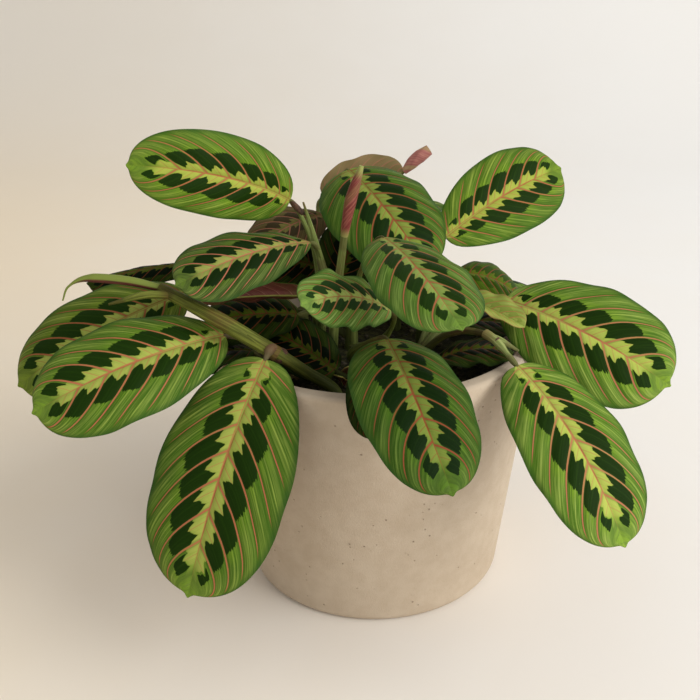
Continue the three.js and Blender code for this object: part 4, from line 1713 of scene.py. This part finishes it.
BLADES: tuple[Blade, ...] = (
    Blade("upper_left", (-38, 5, 190), (-102, -35, 217.5), 37, (9, 5, -90, 6, 22, 1), 0.53, Tone.LIT),
    Blade("crinkled_left", (-28, -10, 174), (-82, -55, 171), 34, (6, 0, -30, 5, 30, 1), 0.67, Tone.PINK),
    Blade("far_left", (-87, -15, 152), (-160, -45, 120), 46, (10, 0, -45, 5, 40, 1), tone=Tone.FAR),
    Blade("left", (-65, -47, 144), (-140, -85, 127), 49, (8, 0, -35, 6, 30, 1)),
    Blade("hanging_left", (-46, -62, 139), (-78, -112, 55), 61, (8, 0, -15, 6, 25, 1), 0.55, veins=9),
    Blade("front", (6, -60, 147), (29, -130, 115), 48, (8, 2, 0, 5, 30, 1), 0.48, Tone.SHADED, lean=0.5),
    Blade("centre", (5, -35, 184), (34, -95, 167), 44, (5, 1, 0, 5, 30, 1), tone=Tone.SHEEN_GREY),
    Blade("young_pale", (8, -42, 153), (-29, -62, 164), 33, (4, 3, -30, 5, 25, 2), tone=Tone.YOUNG),
    Blade("upper_centre", (-11, 32, 197), (26, -16, 163), 54, (8, 2, 16, 5, 35, 1), 0.47, Tone.SOFT),
    Blade("upper_right", (35, 5, 171), (94, 45, 193), 42, (5, -2, 50, 6, 25, 1), tone=Tone.LIT),
    Blade("right", (62, -14, 146), (128, -57, 123), 55, (6, -1, 36, 6, 26, 1), tone=Tone.SUNNY),
    Blade("hanging_right", (62.5, -56, 132), (100, -114, 80), 48, (8, -1, 10, 6, 28, 1), 0.54, Tone.SUNNY),
    Blade("unrolling", (-24, 52, 178), (17, 60, 188.5), 28, (2, 0, -60, 14, -20, 0.5), 0.45, Tone.OLIVE),
    Blade("dark_right", (43, 13, 150), (75, 18, 132.5), 35, (5, 0, 20, 5, 30, 0.5), tone=Tone.DARK),
    Blade("shaded_left", (-24, 36, 173), (-58, 10, 163), 30, (5, 0, -25, 5, 25, 1), tone=Tone.RUSSET),
    Blade("inner_left", (-30, -24, 154), (-80, -38, 156), 16, (2, 0, 55, 20, 10, 1), 0.5),
    Blade("inner_front", (-17, -38, 122), (-50, -24, 138), 27, (4, 0, -38, 5, 25, 1), 0.5, Tone.DEEP_SHADE),
    Blade("curled_left", (-90, 14, 156), (-139, 8, 149), 22, (2, 0, -20, -20, 40, 2), tone=Tone.DEEP_SHADE),
    Blade("low_right", (28, -36, 125), (63, -36, 129.5), 34, (4, 0, -4, 5, 20, 1), tone=Tone.DEEP_SHADE),
    Blade("tucked_front", (0, -58, 137), (1, -98, 120), 24, (5, 0, 0, 5, 20, 1), tone=Tone.DEEP_SHADE),
    Blade("low_left", (-54, -40, 133), (-90, -52, 121), 30, (7, 0, 0, 5, 15, 1), tone=Tone.DEEP_SHADE),
    Blade("folded_right", (42, -14, 147), (68, -34, 141), 16, (2, 0, 20, 30, 0, 1), tone=Tone.LIME),
    Blade("shaded_front", (-34, -24, 144), (-76, -31, 143), 36, (3, 0, -20, 5, 15, 1), tone=Tone.DEEP_SHADE),
    Blade("shaded_right", (34, -3, 129), (72, -13, 131.5), 29, (3, 0, 0, 5, 20, 1), tone=Tone.DEEP_SHADE),
    Blade("back_right", (52, 50, 132), (98, 98, 98), 44, (7, 0, 0, 6, 30, 1)),
    Blade("back_hanging_right", (26, 64, 142), (42, 120, 72), 48, (9, 0, 0, 6, 30, 1)),
    Blade("back", (-8, 64, 146), (-14, 140, 118), 48, (9, 0, 0, 6, 30, 1)),
    Blade("back_left", (-46, 50, 144), (-86, 112, 102), 48, (9, 0, 0, 6, 30, 1)),
    Blade("low_back_left", (-72, 26, 136), (-132, 58, 92), 44, (9, 0, 0, 6, 30, 1)),
    Blade("upper_back", (14, 50, 166), (30, 104, 156), 36, (7, 0, 0, 6, 30, 1)),
    Blade("upper_back_left", (-24, 66, 160), (-50, 112, 140), 38, (7, 0, 0, 6, 30, 1)),
    Blade("low_back_right", (76, 28, 133), (128, 44, 86), 40, (8, 0, 0, 6, 30, 1)),
    Blade("inner_centre", (-18, 12, 138), (-7, 15, 176), 30, (3, 0, 65, 5, 20, 1), tone=Tone.DEEP_SHADE),
    Blade("inner_back_left", (-24, 33, 146), (-60, 40, 152), 36, (4, 0, -55, 6, 25, 1), tone=Tone.DEEP_SHADE),
    Blade("inner_back_right", (27, 38, 141), (44, 54, 136), 24, (5, 0, 0, 6, 25, 1)),
)

SHOOTS: tuple[Shoot, ...] = (
    Shoot(
        "runner",
        (-17, -46),
        ((-30, -51, 128), (-43, -57, 141), (-65, -54, 155), (-92, -45, 166)),
        (3, 2.4),
        (
            Petiole("hanging_left", (-43, -57, 142), (-44, -60, 144), 4, clay=True),
            Petiole("left", (-44, -57, 141), (-55, -52, 143), 6, clay=True),
        ),
        rings=(((-38, -54.5, 136), (-42, -56.5, 140), 3.5),),
        sheaths=(
            (((-86, -47, 163.5), (-98, -51, 165), (-112, -56, 163)), (1.8, 1.6, 0.5)),
            (((-41, -56.5, 139), (-65, -54.8, 154), (-91, -45.6, 165.5)), (3.4, 3.1, 2.2)),
        ),
        main=Stalk.OLIVE,
        side=Stalk.OLIVE,
    ),
    Shoot(
        "shoot_left",
        (-26, -10),
        ((-25, -9, 132),),
        (3, 2.6),
        (
            Petiole("upper_left", (-25, -9, 125), (-20, -7, 165), 8),
            Petiole("crinkled_left", (-25, -9, 128), (-20, -2, 160), 6),
            Petiole("inner_left", (-26, -10, 122), (-24, -14, 140), 6),
            Petiole("low_left", (-26, -11, 119), (-50, -36, 112), 4),
            Petiole("shaded_front", (-26, -11, 124), (-26, -12, 148), 5),
        ),
        rings=(((-37.2, 4.4, 189.4), (-31.8, 1.2, 184.3), 1.45),),
        sheaths=((((-31.5, 1, 190.2), (-27.5, -2, 177), (-22.5, -6.5, 158)), (0.4, 1.3, 2.0)),),
    ),
    Shoot("shoot_spike", (-19, -22), ((-18, -23, 135), (-15, -24, 161), (-12, -24, 182)), (2.8, 1.6)),
    Shoot(
        "shoot_centre",
        (-11, 4),
        ((-11, 5, 132),),
        (3, 2.6),
        (
            Petiole("upper_centre", (-11, 5, 124), (-14, 48, 158), 8),
            Petiole("inner_centre", (-11, 5, 120), (-22, 11, 122), 5),
        ),
    ),
    Shoot(
        "shoot_front",
        (-8, -26),
        ((-8, -27, 130),),
        (3.4, 2.8),
        (
            Petiole("front", (-8, -27, 122), (-14, -44, 134), 8, 1.3),
            Petiole("centre", (-8, -27, 122), (-13, -16, 158), 8),
            Petiole("young_pale", (-7, -27, 122), (10, -28, 135), 6),
            Petiole("inner_front", (-8, -28, 119), (-9, -46, 120), 5),
            Petiole("tucked_front", (-8, -28, 120), (-8, -45, 120), 6),
        ),
        main=Stalk.DARK,
        side=Stalk.DARK,
    ),
    Shoot(
        "shoot_right",
        (20, -20),
        ((30, -25, 131), (41, -33, 139), (51, -42, 141)),
        (2, 1.5),
        (
            Petiole("hanging_right", (50, -41, 141), (56, -47, 140), 6),
            Petiole("right", (23, -21, 124), (40, -14, 146), 8),
            Petiole("low_right", (21, -20, 118), (22, -30, 121), 3),
            Petiole("folded_right", (22, -20, 122), (30, -8, 146), 5),
        ),
        rings=(((54.3, -45.4, 139.9), (55.2, -46.2, 139.5), 1.75),),
        sheaths=((((49, -41, 141), (56, -45, 139.5), (64, -49, 136)), (1.4, 1.5, 0.5)),),
        main=Stalk.BROWN,
        side=Stalk.PALE,
    ),
    Shoot(
        "shoot_back_right",
        (24, 8),
        ((25, 8, 132),),
        (3, 2.6),
        (
            Petiole("upper_right", (25, 8, 124), (24, 4, 158), 7),
            Petiole("dark_right", (25, 8, 122), (34, 10, 148), 7),
            Petiole("low_back_right", (25, 8, 120), (48, 8, 132), 8),
            Petiole("shaded_right", (25, 7, 118), (27, 3, 124), 4),
        ),
    ),
    Shoot(
        "shoot_back_left",
        (-34, 14),
        ((-35, 14, 132),),
        (3, 2.6),
        (
            Petiole("far_left", (-35, 14, 122), (-60, 10, 152), 8),
            Petiole("curled_left", (-35, 14, 126), (-60, 18, 156), 8),
            Petiole("low_back_left", (-35, 14, 120), (-52, 22, 134), 8),
        ),
    ),
    Shoot(
        "shoot_back",
        (-6, 32),
        ((-7, 33, 134),),
        (3.2, 2.8),
        (
            Petiole("unrolling", (-7, 33, 126), (-32, 50, 165), 6),
            Petiole("shaded_left", (-7, 33, 126), (-16, 40, 162), 6),
            Petiole("back", (-6, 33, 122), (-4, 48, 144), 8),
            Petiole("back_left", (-7, 33, 120), (-16, 52, 136), 8),
            Petiole("upper_back_left", (-7, 33, 124), (-18, 52, 150), 8),
            Petiole("inner_back_left", (-7, 33, 122), (-18, 30, 144), 6),
        ),
    ),
    Shoot(
        "shoot_back_middle",
        (12, 30),
        ((12, 31, 134),),
        (3, 2.6),
        (
            Petiole("upper_back", (12, 31, 124), (12, 40, 155), 8),
            Petiole("back_hanging_right", (12, 31, 122), (24, 48, 142), 8),
            Petiole("back_right", (12, 31, 120), (40, 32, 138), 8),
            Petiole("inner_back_right", (12, 31, 124), (18, 32, 144), 6),
        ),
    ),
)

ROLLED_LEAVES: tuple[RolledLeaf, ...] = (
    RolledLeaf(
        "rolled_spike",
        "leaf_spike",
        ((-12, -24, 181.5), (-9, -25, 197), (-4, -24, 213)),
        (1.5, 2.0, 2.5, 2.1, 0.9),
        RolledFinish(
            "rolled_spike",
            (0.16, 0.030, 0.026),
            (0.31, 0.10, 0.07),
            (0.30, 0.33, 0.09),
            tip_start=0.94,
            foot_end=0.12,
            green=0.15,
        ),
    ),
    RolledLeaf(
        "rolled_runner_leaf",
        "leaf_rolled_left",
        ((-92, -45, 166.2), (-106, -46, 170), (-122, -48, 172), (-130, -50, 169), (-133, -51, 163)),
        (1.5, 1.8, 1.9, 1.8, 0.5, 0.3),
        RolledFinish(
            "rolled_runner_leaf",
            (0.065, 0.016, 0.012),
            (0.15, 0.045, 0.030),
            (0.17, 0.21, 0.038),
            tip_start=0.8,
            winds=0.0,
            green_from=-0.25,
            green=1.0,
        ),
        twist=0.0,
    ),
    RolledLeaf(
        "rolled_tongue",
        "leaf_unrolling_tip",
        ((16.9, 60, 188.6), (23, 62, 194.5), (30, 64, 199)),
        (1.4, 2.8, 3.2, 2.6),
        RolledFinish("rolled_tongue", main=(0.34, 0.115, 0.10), streak=(0.46, 0.20, 0.15), tip_start=1.2),
    ),
)

SPROUT_BENDS = (1, 0, 0, 5, 20, 0.3)
SMALL_LEAVES: tuple[Blade, ...] = (
    Blade("sprout_left", (-13, -36, 114), (-16.5, -41, 121), 6.5, SPROUT_BENDS, tone=Tone.LIME, veins=3),
    Blade("sprout_right", (-10.5, -37, 114), (-7.5, -43, 119), 7, SPROUT_BENDS, tone=Tone.LIME, veins=3),
    Blade("sprout_middle", (-12, -35, 115), (-11, -38, 124), 6, SPROUT_BENDS, tone=Tone.LIME, veins=3),
    Blade("fallen", (-29, -31, 115.5), (-42, -33, 116), 7, (1, 1, 5, 0, 25, 0.6), tone=Tone.RUSSET, veins=4),
)


def settle(piece: bpy.types.Object, slot: str, *nodes: str) -> None:
    """Links a piece, rides it on the plant and hides the solids that it stands for.

    Args:
        piece: The new object.
        slot: Not used.
        nodes: The solids that it replaces.
    """
    bpy.context.scene.collection.objects.link(piece)
    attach(piece, "root")
    if nodes:
        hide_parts(*nodes)
    LOG.info("%s: %d faces", piece.name, len(piece.data.polygons))


def main() -> None:
    """Builds the plant and its studio in order."""
    logging.basicConfig(level=logging.INFO, format="%(message)s")
    Studio().build()
    settle(Pot().build(), "stoneware", "pot")
    soil = Soil()
    settle(soil.build(), "potting_soil", "soil")
    settle(soil.litter(), "potting_soil")
    blades = {blade.name: blade for blade in BLADES}
    finishes: dict[Stalk | None, bpy.types.Material] = {kind: kind.value.material() for kind in Stalk}
    finishes[None] = NodeRingFinish().material()
    for shoot in SHOOTS:
        settle(shoot.build(blades, finishes), "stalk", shoot.name)
    for blade in BLADES + SMALL_LEAVES:
        piece = blade.build()
        palette = blade.tone.value
        size = min(1.0, blade.width / 50)
        upper = UpperFace("upper_" + blade.name, palette, blade.seed, size, blade.veins)
        piece.data.materials.append(upper.material())
        piece.data.materials.append(LowerFace("lower_" + blade.name, palette, blade.seed, size).material())
        nodes = () if blade in SMALL_LEAVES else ("leaf_" + blade.name,)
        settle(piece, "leaf", *nodes)
    for rolled in ROLLED_LEAVES:
        settle(rolled.build(), "rolled_leaf", rolled.node)
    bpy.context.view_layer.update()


if __name__ == "__main__":
    main()
